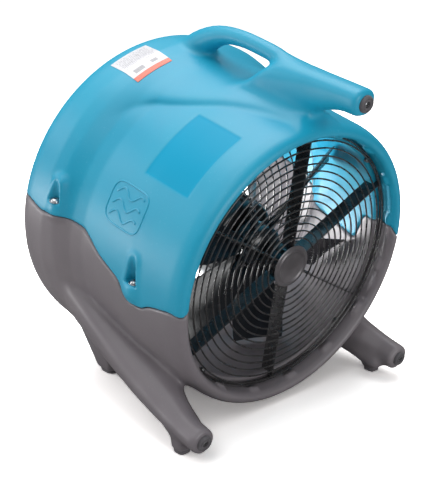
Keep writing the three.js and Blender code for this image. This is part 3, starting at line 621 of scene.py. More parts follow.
def pull_to_surface(verts, which, steps=2):
    """Moves net vertices onto the zero surface along the field's slope."""
    p = verts.astype(np.float32)
    h = 0.6
    for _ in range(steps):
        base = in_chunks(shells, p)[which]
        slope = np.zeros_like(p)
        for k in range(3):
            q = p.copy()
            q[:, k] += h
            slope[:, k] = (in_chunks(shells, q)[which] - base) / h
        size = np.maximum((slope**2).sum(1), 0.25)
        move = (base / size)[:, None] * slope
        length = np.sqrt((move**2).sum(1))
        move *= np.minimum(1, 1.4 / np.maximum(length, 1e-6))[:, None]
        p = p - 0.8 * move
    return p


# ---- materials ----
class Nodes:
    """Short way to write the node tree of a material or a world."""

    def __init__(self, owner):
        owner.use_nodes = True
        self.owner, self.tree = owner, owner.node_tree
        coords = self.tree.nodes.new("ShaderNodeTexCoord").outputs
        self.place, self.uv, self.direction = coords["Object"], coords["UV"], coords["Generated"]

    def node(self, kind, **inputs):
        """A new node; i0, i1 and so on are numbered inputs, and a name with underscores is a named one."""
        n = self.tree.nodes.new("ShaderNode" + kind)
        for key, value in inputs.items():
            if key in ("operation", "bands_direction"):
                setattr(n, key, value)
            else:
                self.put(n.inputs[int(key[1:]) if key[1:].isdigit() else key.replace("_", " ")], value)
        return n

    def put(self, socket, value):
        if isinstance(value, bpy.types.NodeSocket):
            self.tree.links.new(value, socket)
        else:
            socket.default_value = value

    def math(self, operation, a, b=0.0, c=0.0):
        return self.node("Math", operation=operation, i0=a, i1=b, i2=c).outputs[0]

    def times(self, a, b):
        return self.math("MULTIPLY", a, b)

    def noise(self, scale, detail=3.0, rough=0.5, at=None):
        n = self.node("TexNoise", Vector=at or self.place, Scale=scale, Detail=detail, Roughness=rough)
        return n.outputs["Fac"]

    def ramp(self, fac, low, high, out0=0.0, out1=1.0):
        n = self.node("MapRange", Value=fac, From_Min=low, From_Max=high, To_Min=out0, To_Max=out1)
        n.interpolation_type = "SMOOTHSTEP"
        return n.outputs[0]

    def mix(self, fac, a, b, blend="MIX"):
        n = self.tree.nodes.new("ShaderNodeMix")
        n.data_type = "RGBA"
        n.blend_type = blend
        self.put(n.inputs[0], fac)
        for socket, value in ((6, a), (7, b)):
            self.put(n.inputs[socket], (*value, 1) if isinstance(value, tuple) else value)
        return n.outputs[2]

    def stretched(self, scale):
        return self.node("Mapping", Vector=self.place, Scale=scale).outputs[0]

    def bump(self, height, strength, depth, normal=None):
        n = self.node("Bump", Strength=strength, Distance=depth, Height=height)
        if normal is not None:
            self.put(n.inputs["Normal"], normal)
        return n.outputs[0]

    def set(self, shader="Principled BSDF", **values):
        for key, value in values.items():
            self.put(self.tree.nodes[shader].inputs[key.replace("_", " ")], value)
        return self.owner


def material(name):
    return Nodes(bpy.data.materials.new(name))


def rgb(code):
    """Linear colour from a hex code."""
    values = [int(code[k : k + 2], 16) / 255 for k in (0, 2, 4)]
    return tuple(v / 12.92 if v <= 0.04045 else ((v + 0.055) / 1.055) ** 2.4 for v in values)


def scaled(colour, factor, lift=0.0):
    return tuple(min(1, c * factor + lift) for c in colour)


def moulded(name, base, dark, light, rough, grain=900.0, scuffs=0.5, patch=False):
    """Rotomoulded plastic: grain, slow waves in the wall, faint mottling, rubbed edges, hairline scuffs."""
    base, dark, light = rgb(base), rgb(dark), rgb(light)
    n = material(name)
    cloud = n.noise(6.0, 4.0, 0.55)
    speck = n.noise(260.0, 2.0, 0.5)
    tone = n.mix(n.ramp(cloud, 0.3, 0.7), dark, base)
    tone = n.mix(n.ramp(speck, 0.62, 0.8, 0, 0.10), tone, light)
    edge = n.ramp(n.node("NewGeometry").outputs["Pointiness"], 0.52, 0.6, 0, 0.35)
    rub = n.times(edge, n.ramp(n.noise(38.0, 4.0, 0.6), 0.4, 0.62))
    tone = n.mix(rub, tone, light)
    lines = n.noise(14.0, 5.0, 0.7, at=n.stretched((3.0, 3.0, 42.0)))
    where = n.ramp(n.noise(9.0, 2.0), 0.56, 0.66)
    scuff = n.times(n.ramp(lines, 0.66, 0.72), where)
    tone = n.mix(n.times(scuff, 0.22 * scuffs), tone, light)
    cloudy = n.ramp(cloud, 0.25, 0.75, rough - 0.04, rough + 0.05)
    rough_here = n.math("ADD", cloudy, n.times(scuff, 0.15))
    rough_here = n.math("ADD", rough_here, n.ramp(speck, 0.3, 0.7, -0.02, 0.02))
    gloss = 0.55
    if patch:
        mask = patch_mask(n)
        tone = n.mix(n.times(mask, 0.8), tone, (0.0, dark[1], dark[2] * 1.06))
        gloss = n.math("SUBTRACT", gloss, n.times(mask, 0.4))
    waves = n.bump(n.noise(22.0, 2.0), 0.25, 0.0016)
    fine = n.bump(n.noise(grain, 3.0, 0.6), 0.22, 0.00022, waves)
    fine = n.bump(lines, 0.04 * scuffs, 0.0004, fine)
    return n.set(Base_Color=tone, Roughness=rough_here, Normal=fine, IOR=1.5, Specular_IOR_Level=gloss)


def patch_mask(n):
    """1 inside the rectangle on each side of the drum, in the fan's own frame."""
    moved = n.node("VectorMath", operation="SUBTRACT", i0=n.place, i1=tuple(SPIN["pos_m"])).outputs[0]
    level = n.node("Mapping", Vector=moved, Rotation=(-PITCH, 0, 0)).outputs[0]
    x, y, z = n.node("SeparateXYZ", Vector=level).outputs
    theta = n.math("ARCTAN2", n.math("ABSOLUTE", x), z)
    (a0, a1), (y0, y1) = PATCH_ANGLES, PATCH_YS
    across = n.times(n.ramp(theta, a0 * DEG, (a0 + 1) * DEG), n.ramp(theta, a1 * DEG, (a1 + 1) * DEG, 1, 0))
    along = n.times(n.ramp(y, (y0 + 1) * MM, (y0 + 4) * MM), n.ramp(y, (y1 + 1) * MM, (y1 + 4) * MM, 1, 0))
    return n.times(across, along)


def coated_metal(name, base, rough, metallic=0.0, coat=0.6, grain=700.0):
    """Painted or powder-coated metal: slight orange peel and a few worn specks."""
    n = material(name)
    cloud = n.noise(30.0, 3.0)
    chips = n.ramp(n.noise(170.0, 4.0, 0.7), 0.72, 0.76)
    tone = n.mix(n.ramp(cloud, 0.3, 0.7), scaled(base, 0.8), scaled(base, 1.25, 0.003))
    tone = n.mix(n.times(chips, 0.3), tone, (0.35, 0.34, 0.33))
    peel = n.bump(n.noise(grain, 2.0), 0.25, 0.0002)
    n.set(Base_Color=tone, Metallic=metallic, Coat_Weight=coat, Coat_Roughness=0.12, Normal=peel)
    return n.set(Roughness=n.ramp(cloud, 0.3, 0.7, rough - 0.05, rough + 0.07))


def bare_metal(name, base, rough, brush=(1, 1, 30)):
    """Brushed or plated metal with faint stains."""
    base = rgb(base)
    n = material(name)
    lines = n.noise(60.0, 4.0, 0.6, at=n.stretched(brush))
    stain = n.noise(45.0, 3.0)
    tone = n.mix(n.ramp(stain, 0.35, 0.7, 0, 0.35), base, scaled(base, 0.55))
    n.set(Base_Color=tone, Metallic=1.0, Normal=n.bump(lines, 0.15, 0.0002))
    return n.set(Roughness=n.ramp(lines, 0.3, 0.7, rough - 0.07, rough + 0.12))


def soft_rubber(name, base, rough=0.75):
    """Matt rubber with dust in its grain."""
    n = material(name)
    dust = n.ramp(n.noise(70.0, 5.0, 0.65), 0.5, 0.75, 0, 0.28)
    n.set(Base_Color=n.mix(dust, base, scaled(base, 2.6, 0.02)), Sheen_Weight=0.15)
    n.set(Roughness=n.ramp(n.noise(180.0, 3.0), 0.3, 0.7, rough - 0.1, rough + 0.1))
    return n.set(Normal=n.bump(n.noise(1100.0, 3.0, 0.6), 0.35, 0.0003))


def laminations(name):
    """Stacked steel sheets, on edge along the fan axis."""
    n = material(name)
    wave = n.node("TexWave", Vector=n.place, Scale=420.0, Distortion=0.3, Detail=1.0, bands_direction="Y")
    sheets = wave.outputs["Fac"]
    tone = n.mix(n.ramp(sheets, 0.2, 0.8), (0.10, 0.085, 0.07), (0.24, 0.21, 0.17))
    n.set(Base_Color=tone, Metallic=0.7, Normal=n.bump(sheets, 0.4, 0.0003))
    return n.set(Roughness=n.ramp(n.noise(90.0), 0.3, 0.7, 0.4, 0.6))


def label_sheet(name):
    """Blank laminated sheet: ruled grey bars, two plain boxes and a coloured band along the front edge."""
    n = material(name)
    u, v, _ = n.node("SeparateXYZ", Vector=n.uv).outputs

    def within(value, low, high):
        return n.times(n.math("GREATER_THAN", value, low), n.math("LESS_THAN", value, high))

    def window(a0, a1, b0, b1):
        return n.times(within(u, a0, a1), within(v, b0, b1))

    line = n.times(v, 17.0)
    stripes = n.math("GREATER_THAN", n.math("FRACT", line), 0.62)
    cells = n.node("CombineXYZ", X=n.times(u, 26.0), Y=n.math("FLOOR", line)).outputs[0]
    broken = n.ramp(n.noise(1.0, 1.0, at=cells), 0.42, 0.5)
    bars = n.times(n.times(stripes, broken), window(0.08, 0.9, 0.42, 0.93))
    tone = n.mix(n.times(bars, 0.6), (0.62, 0.62, 0.65), (0.15, 0.15, 0.18))
    rule = n.math("MAXIMUM", window(0.04, 0.96, 0.375, 0.383), window(0.04, 0.96, 0.62, 0.628))
    tone = n.mix(n.times(rule, 0.6), tone, (0.3, 0.3, 0.34))
    boxes = n.math("MAXIMUM", window(0.14, 0.42, 0.20, 0.335), window(0.62, 0.8, 0.22, 0.335))
    tone = n.mix(n.times(boxes, 0.75), tone, (0.16, 0.16, 0.18))
    tone = n.mix(n.math("LESS_THAN", v, 0.135), tone, (0.66, 0.10, 0.045))
    tone = n.mix(n.ramp(n.noise(60.0, 4.0), 0.55, 0.8, 0, 0.12), tone, (0.55, 0.52, 0.46))
    n.set(Base_Color=tone, Coat_Weight=0.3, Coat_Roughness=0.15, Normal=n.bump(n.noise(35.0), 0.12, 0.0004))
    return n.set(Roughness=n.ramp(n.noise(120.0), 0.3, 0.7, 0.25, 0.42))


BLUE = moulded("blue_shell", "0a95b5", "068fb0", "86c4e2", 0.45, patch=True)
GREY = moulded("grey_shell", "757074", "6d686d", "a3a1a4", 0.42, scuffs=0.9)
WIRE = coated_metal("black_wire", (0.026, 0.025, 0.026), 0.26, coat=0.85)
DISC = coated_metal("disc_paint", rgb("5d5a5d"), 0.34, metallic=0.35, coat=0.3)
RUBBER = soft_rubber("rubber", rgb("4c4a4e"))
PAD = soft_rubber("pad_rubber", rgb("5a575b"), 0.85)
CORD = soft_rubber("cord_jacket", rgb("18181a"), 0.6)
# near-black stand-in painted as the shade inside the screws' cross recesses, which are not cut into the heads
PAINTED_RECESS_SHADE = soft_rubber("painted_recess_shade", (0.01, 0.01, 0.01), 0.9)
ZINC = bare_metal("zinc", "c4c6c9", 0.3)
STEEL = bare_metal("steel", "a4a6a9", 0.3)
BRASS = bare_metal("brass_pins", "c9a85f", 0.3)
ALUMINIUM = bare_metal("aluminium", "c9cbce", 0.34, brush=(30, 1, 30))
BLADE = moulded("impeller_plastic", "1d2228", "161a1f", "4a5058", 0.24, grain=1200.0)
MOTOR = coated_metal("motor_paint", rgb("262628"), 0.34, metallic=0.2, coat=0.45, grain=420.0)
BLACK = moulded("black_plastic", "1b1b1d", "151517", "4c4c50", 0.46, grain=1500.0)
RED = moulded("red_plastic", "b3261e", "9c1f18", "d97a70", 0.3, grain=1500.0)
PRINT = moulded("white_mark", "e6e6e2", "dadad6", "f4f4f2", 0.5)
CORE = laminations("core")
LABEL = label_sheet("label")


# ---- shells ----
def shell_pieces():
    kinds = (("upper", BLUE), ("lower", GREY))
    for which, ((verts, faces), (word, mat)) in enumerate(zip(build_shells(), kinds)):
        row = to_row(pull_to_surface(verts, which, 3))
        mesh = bpy.data.meshes.new(f"{word}_shell")
        mesh.vertices.add(len(row))
        mesh.vertices.foreach_set("co", row.astype(np.float32).ravel())
        mesh.loops.add(faces.size)
        mesh.loops.foreach_set("vertex_index", faces.astype(np.int32).ravel())
        mesh.polygons.add(len(faces))
        mesh.polygons.foreach_set("loop_start", np.arange(0, faces.size, 4, dtype=np.int32))
        mesh.update(calc_edges=True)
        mesh.validate()
        mesh.shade_smooth()
        mesh.materials.append(mat)
        keep_largest(mesh)
        joined(mesh, "housing", f"{word}_housing")


def keep_largest(mesh):
    """Drops loose specks, so that each shell is one body."""
    pairs = np.empty(len(mesh.edges) * 2, np.int32)
    mesh.edges.foreach_get("vertices", pairs)
    pairs = pairs.reshape(-1, 2)
    group, before = np.arange(len(mesh.vertices)), None
    while before is None or (group != before).any():
        before = group.copy()
        low = np.minimum(group[pairs[:, 0]], group[pairs[:, 1]])
        np.minimum.at(group, pairs[:, 0], low)
        np.minimum.at(group, pairs[:, 1], low)
        group = group[group]
        group = group[group]
    names, sizes = np.unique(group, return_counts=True)
    if len(names) < 2:
        return
    loose = np.flatnonzero(group != names[np.argmax(sizes)])
    bm = bmesh.new()
    bm.from_mesh(mesh)
    bm.verts.ensure_lookup_table()
    bmesh.ops.delete(bm, geom=[bm.verts[i] for i in loose], context="VERTS")
    bm.to_mesh(mesh)
    bm.free()


def skin_radius(theta, y, low=215.0, high=300.0):
    """Radius of the outside surface along each ray from the fan axis, from outside in."""
    shape = theta.shape
    theta, y = theta.ravel(), y.ravel()

    def inside(r):
        return skin(np.stack([r * np.sin(theta), y, r * np.cos(theta)], 1).astype(np.float32)) < 0

    best = np.full(len(theta), low)
    for r in np.arange(high, low, -2.0):
        best[inside(r) & (best == low)] = r
    lo, hi = best, best + 2.0
    for _ in range(7):
        mid = (lo + hi) / 2
        deep = inside(mid)
        lo, hi = np.where(deep, mid, lo), np.where(deep, hi, mid)
    return ((lo + hi) / 2).reshape(shape)


def on_skin(points, lift=0.0):
    """Points given as (angle in degrees, y), laid on the outside of the housing."""
    t, y = points[:, 0] * DEG, points[:, 1]
    r = skin_radius(t, y) + lift
    return np.stack([r * np.sin(t), y, r * np.cos(t)], 1)


def badge(side, word):
    """Embossed motif on the side of the drum: a rounded square with three airflow waves."""
    middle = np.array([side * 68.0, 131.0])
    parts = [tube(on_skin(middle + squircle(72, 0.45) * [7.6, 40], -0.2), 1.5, 10, closed=True)]
    f = np.linspace(0, 1, 41)
    for j in (-1, 0, 1):
        wave = np.stack([j * 4.2 + 1.5 * np.sin(3 * np.pi * f + 0.6), 60 * f - 30], 1)
        parts.append(tube(on_skin(middle + wave, -0.2), 1.6, 10))
    piece(f"motif_{word}", parts, [BLUE], smooth=180)


def foot_pads():
    """Rubber pads under the four feet, level with the floor."""
    for name, (fx, fy, hx, hy) in (("front", FRONT_FOOT[:4]), ("rear", REAR_FOOT[:4])):
        for side, word in SIDES:
            middle = np.array([side * fx, fy + SPIN["pos_m"][1] / MM])
            rings = []
            for z, shrink in ((0, 3.2), (0.8, 2.2), (5.0, 1.6), (7.5, 1.6)):
                flat = middle + squircle(40, 0.6) * [hx - shrink, hy - shrink]
                rings.append(np.column_stack([flat, np.full(40, z)]))
            pad, node = f"rubber_pad_{name}_{word}", f"foot_pad_{name}_{word}"
            piece(pad, [loft(rings)], [PAD], node, slot="rubber", place=lambda v: v * MM)


# ---- guards ----
def strip_bar(angle, r0, r1, y0, y1, thick=2.0):
    v, f = block(-thick / 2, thick / 2, y0, y1, r0, r1)
    return turn(v, angle), f


def weld(angle, radius):
    """Small lump where a wire is welded to a strip."""
    v, f = turned([(0, -0.9), (1.2, -0.6), (1.75, 0.3), (1.6, 1.2), (0, 1.4)], 8)
    return turn(v * [1.25, 1, 0.9], angle) + polar(angle, radius, 1.0), f


def eyelets(radius, y0, y1):
    """Rings on the guard for its four screws."""
    outline = [(2.3, y0), (4.3, y0), (4.3, y1), (2.3, y1)]
    return [turned(outline, 20, polar(a * DEG, radius)) for a in GUARD_SCREWS]


def front_grille():
    radii = [FIRST_RING_R + n * RING_PITCH for n in range(RINGS)]
    parts = [tube(circle(r, 0, 72 + 4 * n), WIRE_R, 8, closed=True) for n, r in enumerate(radii)]
    rim = LIP_INSIDE_R - 3.9
    parts += [tube(circle(rim, y, 128), WIRE_R, 8, closed=True) for y in (3.5, 9.5)]
    parts.append(turned([(26, 1.3), (29, 1.3), (29, 24), (26, 24)], 48))
    for a in around(6):
        parts.append(strip_bar(a, 27.5, 199, 0.9, 25.9))
        parts.append(strip_bar(a, 198, rim - 1, 0.9, 10.5))
        parts += [weld(a, r) for r in radii]
    piece("front_grille", parts + eyelets(FRONT_SCREW_R, 9.6, 13.6), [WIRE], "front_guard", smooth=50)


def grille_disc():
    profile = [
        (0, -1.7), (10, -1.75), (20, -1.6), (23.6, -1.7), (24.6, -2.6), (25.6, -3.5), (26.6, -3.7),
        (27.6, -3.5), (28.6, -2.6), (29.6, -1.8), (31.5, -1.7), (33.6, -1.0), (34.5, -0.1), (34.2, 0.35),
        (32.5, 0.4), (0, 0.4),
    ]
    piece("grille_disc", [turned(profile, 96)], [DISC], "front_guard_disc", smooth=50)


def rear_grille():
    y = REAR_GUARD_Y
    parts = [tube(circle(REAR_RING_R - n * 15.6, y, 110 - 5 * n), 1.5, 8, closed=True) for n in range(11)]
    parts += [strip_bar((k * 90 + 15) * DEG, 46, REAR_RING_R + 2, y + 0.8, y + 20) for k in range(4)]
    parts.append(turned([(15, 180.1), (49, 180.1), (50, 180.8), (50, 182.8), (49, 183.5), (15, 183.5)]))
    piece("rear_grille", parts + eyelets(REAR_SCREW_R, 178.4, 181.2), [WIRE], "rear_guard", smooth=50)


# ---- fasteners and bumpers ----
def axial_screw(name, node, p, y, facing, shank, length, radius=4.0, height=2.6):
    """Pan head on an axis along the fan, its cross recess two near-black bars painted as the recess's shade;
    facing is -1 for the front.
    """
    rim = [(0, 0), (0.55, 0.02), (0.85, 0.25), (0.98, 0.6), (1, 0.85), (0.96, 1), (0, 1)]
    end, tip = height + length, height + length + 1.5
    parts = [
        turned([(r * radius, t * height) for r, t in rim], 28),
        turned([(0, height), (shank, height), (shank, end), (shank / 2, tip), (0, tip)], 16),
    ]
    # the cross recess: two thin near-black bars on the head face, painted shade, not cut in
    for w, l in ((0.16 * radius, 0.62 * radius), (0.62 * radius, 0.16 * radius)):
        parts.append(block(-w, w, -0.12, 0.2, -l, l) + (1,))
    parts = [(v * [1, -facing, 1] + p + [0, y, 0], f, *mat) for v, f, *mat in parts]
    piece(name, parts, [ZINC, PAINTED_RECESS_SHADE], node)


def side_screw(side, word, place):
    v = SCREWS[place]
    x, y, base = side * v["x"], v["y"], v["seat"] + 0.3
    dome = [(0, 4.6), (3.0, 4.5), (5.4, 3.7), (6.7, 2.2), (7.1, 0.8), (7.0, 0), (2.4, 0), (2.4, -36), (0, -38)]
    washer = [(2.6, -0.3), (9.0, -0.3), (9.3, 0.15), (9.0, 0.65), (2.6, 0.65)]
    parts = [turned(outline, 28, (x, y, base), upright=True) for outline in (dome, washer)]
    # the cross recess: two thin near-black bars at the top of the dome, painted shade, not cut in
    for w, l in ((0.7, 3.0), (3.0, 0.7)):
        parts.append(block(x - w, x + w, y - l, y + l, base + 4.0, base + 4.7) + (1,))
    piece(f"side_screw_{word}_{place}", parts, [ZINC, PAINTED_RECESS_SHADE], f"housing_screw_{word}_{place}")


def bumper(name, angle):
    p = polar(angle, LIMB_AXIS_R)
    profile = [
        (4.7, 4.2), (4.7, 0.8), (5.4, 0.1), (6.6, 0), (8.0, 0.05), (8.4, 0.7), (8.8, 0.7), (9.2, 0.05),
        (10.6, 0.2), (11.6, 0.9), (12.2, 2.0), (12.5, 3.6), (12.5, 6.4), (11.9, 7.4), (8, 7.6), (8, 22.7),
        (2.6, 22.7), (2.6, 4.2),
    ]
    parts = [turned(profile, 56, p + [0, BUMPER_FACE_Y, 0])]
    piece(f"rubber_bumper_{name}", parts, [RUBBER], f"bumper_{name}", smooth=50)
    bolt, node = f"bumper_bolt_{name}", f"bumper_screw_{name}"
    axial_screw(bolt, node, p, BUMPER_FACE_Y + 1.5, -1, 2.1, 34, radius=4.1, height=2.3)


# ---- impeller ----
def blade(number, angle):
    """Cambered blade with its chord growing and its pitch flattening from the hub to the tip."""
    out, forward = polar(angle, 1), polar(angle + 90 * DEG, 1)
    u = -0.5 * np.cos(np.linspace(0, np.pi, 13))
    bow, plump = 5.5 * (1 - 4 * u * u), 0.25 + 0.75 * np.sqrt(np.maximum(0, 1 - (2 * u) ** 4))
    rings = []
    for t in np.linspace(0, 1, 15):
        radius = BLADE_ROOT_R + t * (BLADE_TIP_R - BLADE_ROOT_R)
        free = max(0.0, (radius - 40) / 154)
        chord = 30 + 54 * min(1, free**0.8 * 1.65) - (3 if t > 0.97 else 0)
        stagger = (47 - 13 * free) * DEG
        along = forward * math.cos(stagger) + [0, math.sin(stagger), 0]
        normal = np.cross(out, along)
        normal /= np.linalg.norm(normal)
        half = (2.3 - 0.8 * t) * plump
        lift = np.concatenate([bow - half, (bow + half)[::-1]])
        across = np.concatenate([u, u[::-1]]) * chord
        rings.append(polar(angle, radius, BLADE_Y) + np.outer(across, along) + np.outer(lift, normal))
    parts = [loft(rings)]
    for y in (BLADE_Y - 1.2, BLADE_Y + 1.2):
        parts.append(tube([polar(angle, r, y) for r in (34, 42, 52, 62)], [6.2, 5.4, 3.6, 1.2], 12))
    bevel(piece(f"fan_blade_{number}", parts, [BLADE], f"impeller_blade_{number}", "impeller"), 0.5)


def hub():
    front, rear = HUB_FRONT_Y, HUB_REAR_Y
    profile = [
        (6.6, front + 9), (12.5, front + 9), (12.5, front + 0.8), (14, front), (33, front), (35.2, front + 1.2),
        (36, front + 4), (36, front + 13), (35.2, front + 14.2), (35.2, rear - 14), (36, rear - 12.8),
        (36, rear - 3), (34.6, rear - 0.6), (33, rear), (29, rear), (28, rear - 8), (14, rear - 8), (13, rear),
        (6.6, rear),
    ]
    parts = [turned(profile, 72)]
    for a in BLADE_ANGLES:
        parts.append(tube([polar(a, 33.5, BLADE_Y), polar(a, 38.6, BLADE_Y)], [8.6, 7.8], 18))
    parts += [strip_bar(a + 18 * DEG, 12, 30, rear - 9, rear - 1.5, 2.4) for a in around(12)]
    piece("fan_hub", parts, [BLADE], "impeller_hub", "impeller")
    cap = [
        (0, -13.2), (6, -13.0), (12, -12.2), (18, -10.7), (24, -8.4), (29, -5.6), (33, -2.9), (35.2, -0.9),
        (35, -0.35), (12, -0.35), (9, -7), (0, -7.4),
    ]
    parts = [turned(cap, 72, (0, front, 0))]
    ridge = ((8, -12.9), (14, -11.9), (20, -10), (26, -7.4), (31, -4.5))
    for a in around(6):
        parts.append(tube([polar(a, r, front + y) for r, y in ridge], [0.5, 0.9, 1.0, 0.9, 0.5], 8))
    piece("fan_cap", parts, [BLADE], "hub_cap", "impeller")


# ---- motor ----
def motor():
    bell = [
        (9.5, 0), (14, 0), (17, 0.4), (19, 1.6), (24, 2.2), (44, 2.0), (47, 0.6), (50, 0.1), (54, 0.6),
        (57, 2.6), (58.4, 5.6), (58.6, 11.7), (53, 11.7), (49, 5.2), (19, 5.2), (17, 13), (14.4, 13),
        (14.4, 3), (9.5, 3),
    ]
    for word, outer, inward in (("front", MOTOR_FRONT_Y, 1), ("rear", MOTOR_REAR_Y, -1)):
        parts = [turned([(r, outer + inward * y) for r, y in bell], 72)]
        y0, y1 = sorted((outer + inward * 0.7, outer + inward * 4.5))
        parts += [strip_bar(a + 8 * DEG, 19, 50, y0, y1, 2.8) for a in around(8)]
        piece(f"motor_bell_{word}", parts, [MOTOR], f"motor_{word}_cover")
    front, rear = MOTOR_FRONT_Y + 12.3, MOTOR_REAR_Y - 12.3
    parts = [turned([(54, front), (58, front), (58, rear), (54, rear)], 72)]
    for a in around(24):
        if abs(wrap_to(a - CAPACITOR_ANGLE, 2 * math.pi)) > 19.5 * DEG:
            parts.append(strip_bar(a, 57, 61.5, front + 3, rear - 3, 1.8))
    piece("motor_can", parts, [MOTOR], "motor_shell")


def capacitor():
    can = [
        (0, 112), (15.4, 112), (16.6, 112.6), (17, 114), (17, 160), (16.2, 161.2), (17, 162.4), (17, 164.6),
        (16.2, 166), (14, 166.2), (14, 171), (13, 172), (0, 172),
    ]
    parts = [turned(can, 48, polar(CAPACITOR_ANGLE, 83))]
    piece("capacitor_can", parts, [ALUMINIUM], "run_capacitor")


# ---- control panel, built at the top and turned to its place ----
def panel_piece(name, parts, mats, node, body="housing", round_off=0.0):
    obj = piece(name, [(turn(v, PANEL_ANGLE), f, *mat) for v, f, *mat in parts], mats, node, body)
    if round_off:
        bevel(obj, round_off, 3)


def rounded_frame(half_x, half_y, y, hole, z0, z1, corner):
    """Plate with rounded corners round a hole, as two bridged loops."""
    outer, inner = [], []
    for cx, cy, first in ((1, 1, 0), (-1, 1, 90), (-1, -1, 180), (1, -1, 270)):
        for k in range(6):
            a = (first + 18 * k) * DEG
            x_mid, y_mid = cx * (half_x - corner), y + cy * (half_y - corner)
            outer.append((x_mid + corner * math.cos(a), y_mid + corner * math.sin(a)))
            inner.append(hole(a, cx, cy))
    n = len(outer)
    v = [(a, b, z) for z in (z0, z1) for loop in (outer, inner) for a, b in loop]
    f = []
    for k in range(n):
        m = (k + 1) % n
        f += [(a + k, a + m, b + m, b + k) for a, b in ((n, 0), (2 * n, 3 * n), (0, 2 * n), (3 * n, n))]
    return np.array(v, float), f


def control_panel():
    top, low, high = PANEL_R + 3, PANEL_Y - 43, PANEL_Y + 43
    split = (SWITCH_Y + BREAKER_Y) / 2 + 1

    def window(half_x, half_y):
        return lambda a, cx, cy: (cx * half_x, SWITCH_Y + cy * half_y)

    def round_hole(a, cx, cy):
        return 7.3 * math.cos(a), BREAKER_Y + 7.3 * math.sin(a)

    parts = [
        rounded_frame(33, (split - low) / 2, (split + low) / 2, window(11.3, 15.3), PANEL_R, top, 3.5),
        rounded_frame(33, (high - split) / 2, (high + split) / 2, round_hole, PANEL_R, top, 3.5),
    ]
    screw = [(0, 1.7), (1.6, 1.6), (2.9, 1.0), (3.3, 0.1), (3.3, -0.6), (0, -0.6)]
    for x in (-27, 27):
        parts += [turned(screw, 20, (x, y, top), upright=True) + (1,) for y in (low + 6, high - 6)]
    for y in (SWITCH_Y - 9, SWITCH_Y, SWITCH_Y + 9):
        parts.append(block(16, 24, y - 0.6, y + 0.6, top - 0.1, top + 0.35) + (2,))
    panel_piece("panel_plate", parts, [BLACK, ZINC, PRINT], "control_panel", round_off=0.5)

    parts = [
        rounded_frame(11, 15, SWITCH_Y, window(8.5, 12.5), PANEL_R - 12, PANEL_R + 4, 1.5),
        block(-11, 11, SWITCH_Y - 15, SWITCH_Y + 15, PANEL_R - 22, PANEL_R - 12),
    ]
    panel_piece("switch_frame", parts, [BLACK], "switch_body", round_off=0.5)
    bow = [(t * 11.4, 3.2 + 2.2 * abs(t) ** 1.5) for t in np.linspace(1, -1, 15)]
    outline = bow + [(-9.5, -2.5), (-3, -7), (3, -7), (9.5, -2.5)]
    ring = [(1.6, 8.05), (2.4, 8.05), (2.4, 7), (1.6, 7)]
    parts = [
        prism([(y + SWITCH_Y, z + top) for y, z in outline], 7.5),
        block(-2.6, 2.6, SWITCH_Y - 8.3, SWITCH_Y - 7.5, PANEL_R + 7, PANEL_R + 8.05) + (1,),
        turned(ring, 24, (0, SWITCH_Y + 7.8, PANEL_R), upright=True) + (1,),
    ]
    panel_piece("rocker", parts, [RED, PRINT], "rocker_switch", "rocker", 0.6)

    middle = np.array([0, BREAKER_Y, PANEL_R])
    collar = [(4, 4.5), (6.4, 4.5), (7, 3.9), (7, -3.6), (4, -3.6)]
    parts = [turned(collar, 40, middle, upright=True)]
    v, f = block(-0.35, 0.35, -0.35, 0.35, 3.1, 4.1)
    parts += [(v + middle + [7 * math.cos(a), 7 * math.sin(a), 0], f) for a in around(18)]
    parts.append(block(-10, 10, BREAKER_Y - 12, BREAKER_Y + 12, PANEL_R - 26, PANEL_R - 11))
    panel_piece("breaker_collar", parts, [BLACK], "breaker_body")
    cap = [(0, 7.5), (2.4, 7.45), (3.2, 7.1), (3.6, 6.3), (3.6, -6), (0, -6)]
    parts = [turned(cap, 32, middle, upright=True)]
    panel_piece("breaker_cap", parts, [RED], "breaker_button", "breaker")


# ---- cord ----
def cord_path():
    """Out of the gland, round the hook in loose turns, and down to the plug."""
    x, _, z = polar(PANEL_ANGLE, GLAND_R)
    arm = polar(HOOK_ANGLE, HOOK_R)
    cx = arm[0] - HOOK_HALF * math.cos(HOOK_ANGLE)
    cz = arm[2] + HOOK_HALF * math.sin(HOOK_ANGLE) - COIL_R + CORD_R + 1.5
    points = [(x, 330, z), (x, 346, z), (x, 364, z), (x - 2, 374, z - 6)]
    steps = COIL_TURNS * 10
    for k in range(2, steps + 1):
        a = math.pi / 2 + k * math.pi / 5
        points.append((cx + COIL_R * math.sin(a), 380 + k * 34 / steps, cz + COIL_R * math.cos(a)))
    x, _, z = points[-1]
    return points + [(x + 4, 415, z - 40), (x + 4, 415, z - 78)]


def cord():
    points = cord_path()
    piece("mains_cord", [tube(spline(points, 620), CORD_R, 14)], [CORD], "power_cord", smooth=180)
    end = np.array(points[-1])
    neck = [(4.6, -0.3), (6, -0.6), (6.6, -2)]
    for z in (-3, -6, -9, -12):
        neck += [(6.8, z), (6.8, z - 1.5), (5.7, z - 1.9), (5.7, z - 2.6)]
    neck += [(7.4, -15.5), (0, -15.5), (0, -0.3)]
    sections = (
        (-14.2, 8, 7), (-17, 12.5, 9.5), (-24, 14.6, 10.8), (-40, 15, 11), (-46.6, 15, 11), (-47.3, 14.2, 10.2),
    )
    pin = [(0, -66), (1.6, -65.4), (2.4, -63), (2.4, -46.5), (0, -46.5)]
    parts = [
        turned(neck, 28, end, upright=True),
        loft([end + np.column_stack([squircle(28, 0.5) * [hx, hy], np.full(28, z)]) for z, hx, hy in sections]),
        turned(pin, 20, end - [0, 5, 0], upright=True) + (1,),
    ]
    for x in (-6.35, 6.35):
        v, f = block(x - 0.75, x + 0.75, 0.5, 6.8, -64, -46.5)
        parts.append((v + end, f, 1))
    bevel(piece("mains_plug", parts, [CORD, BRASS], "power_plug"), 0.3)


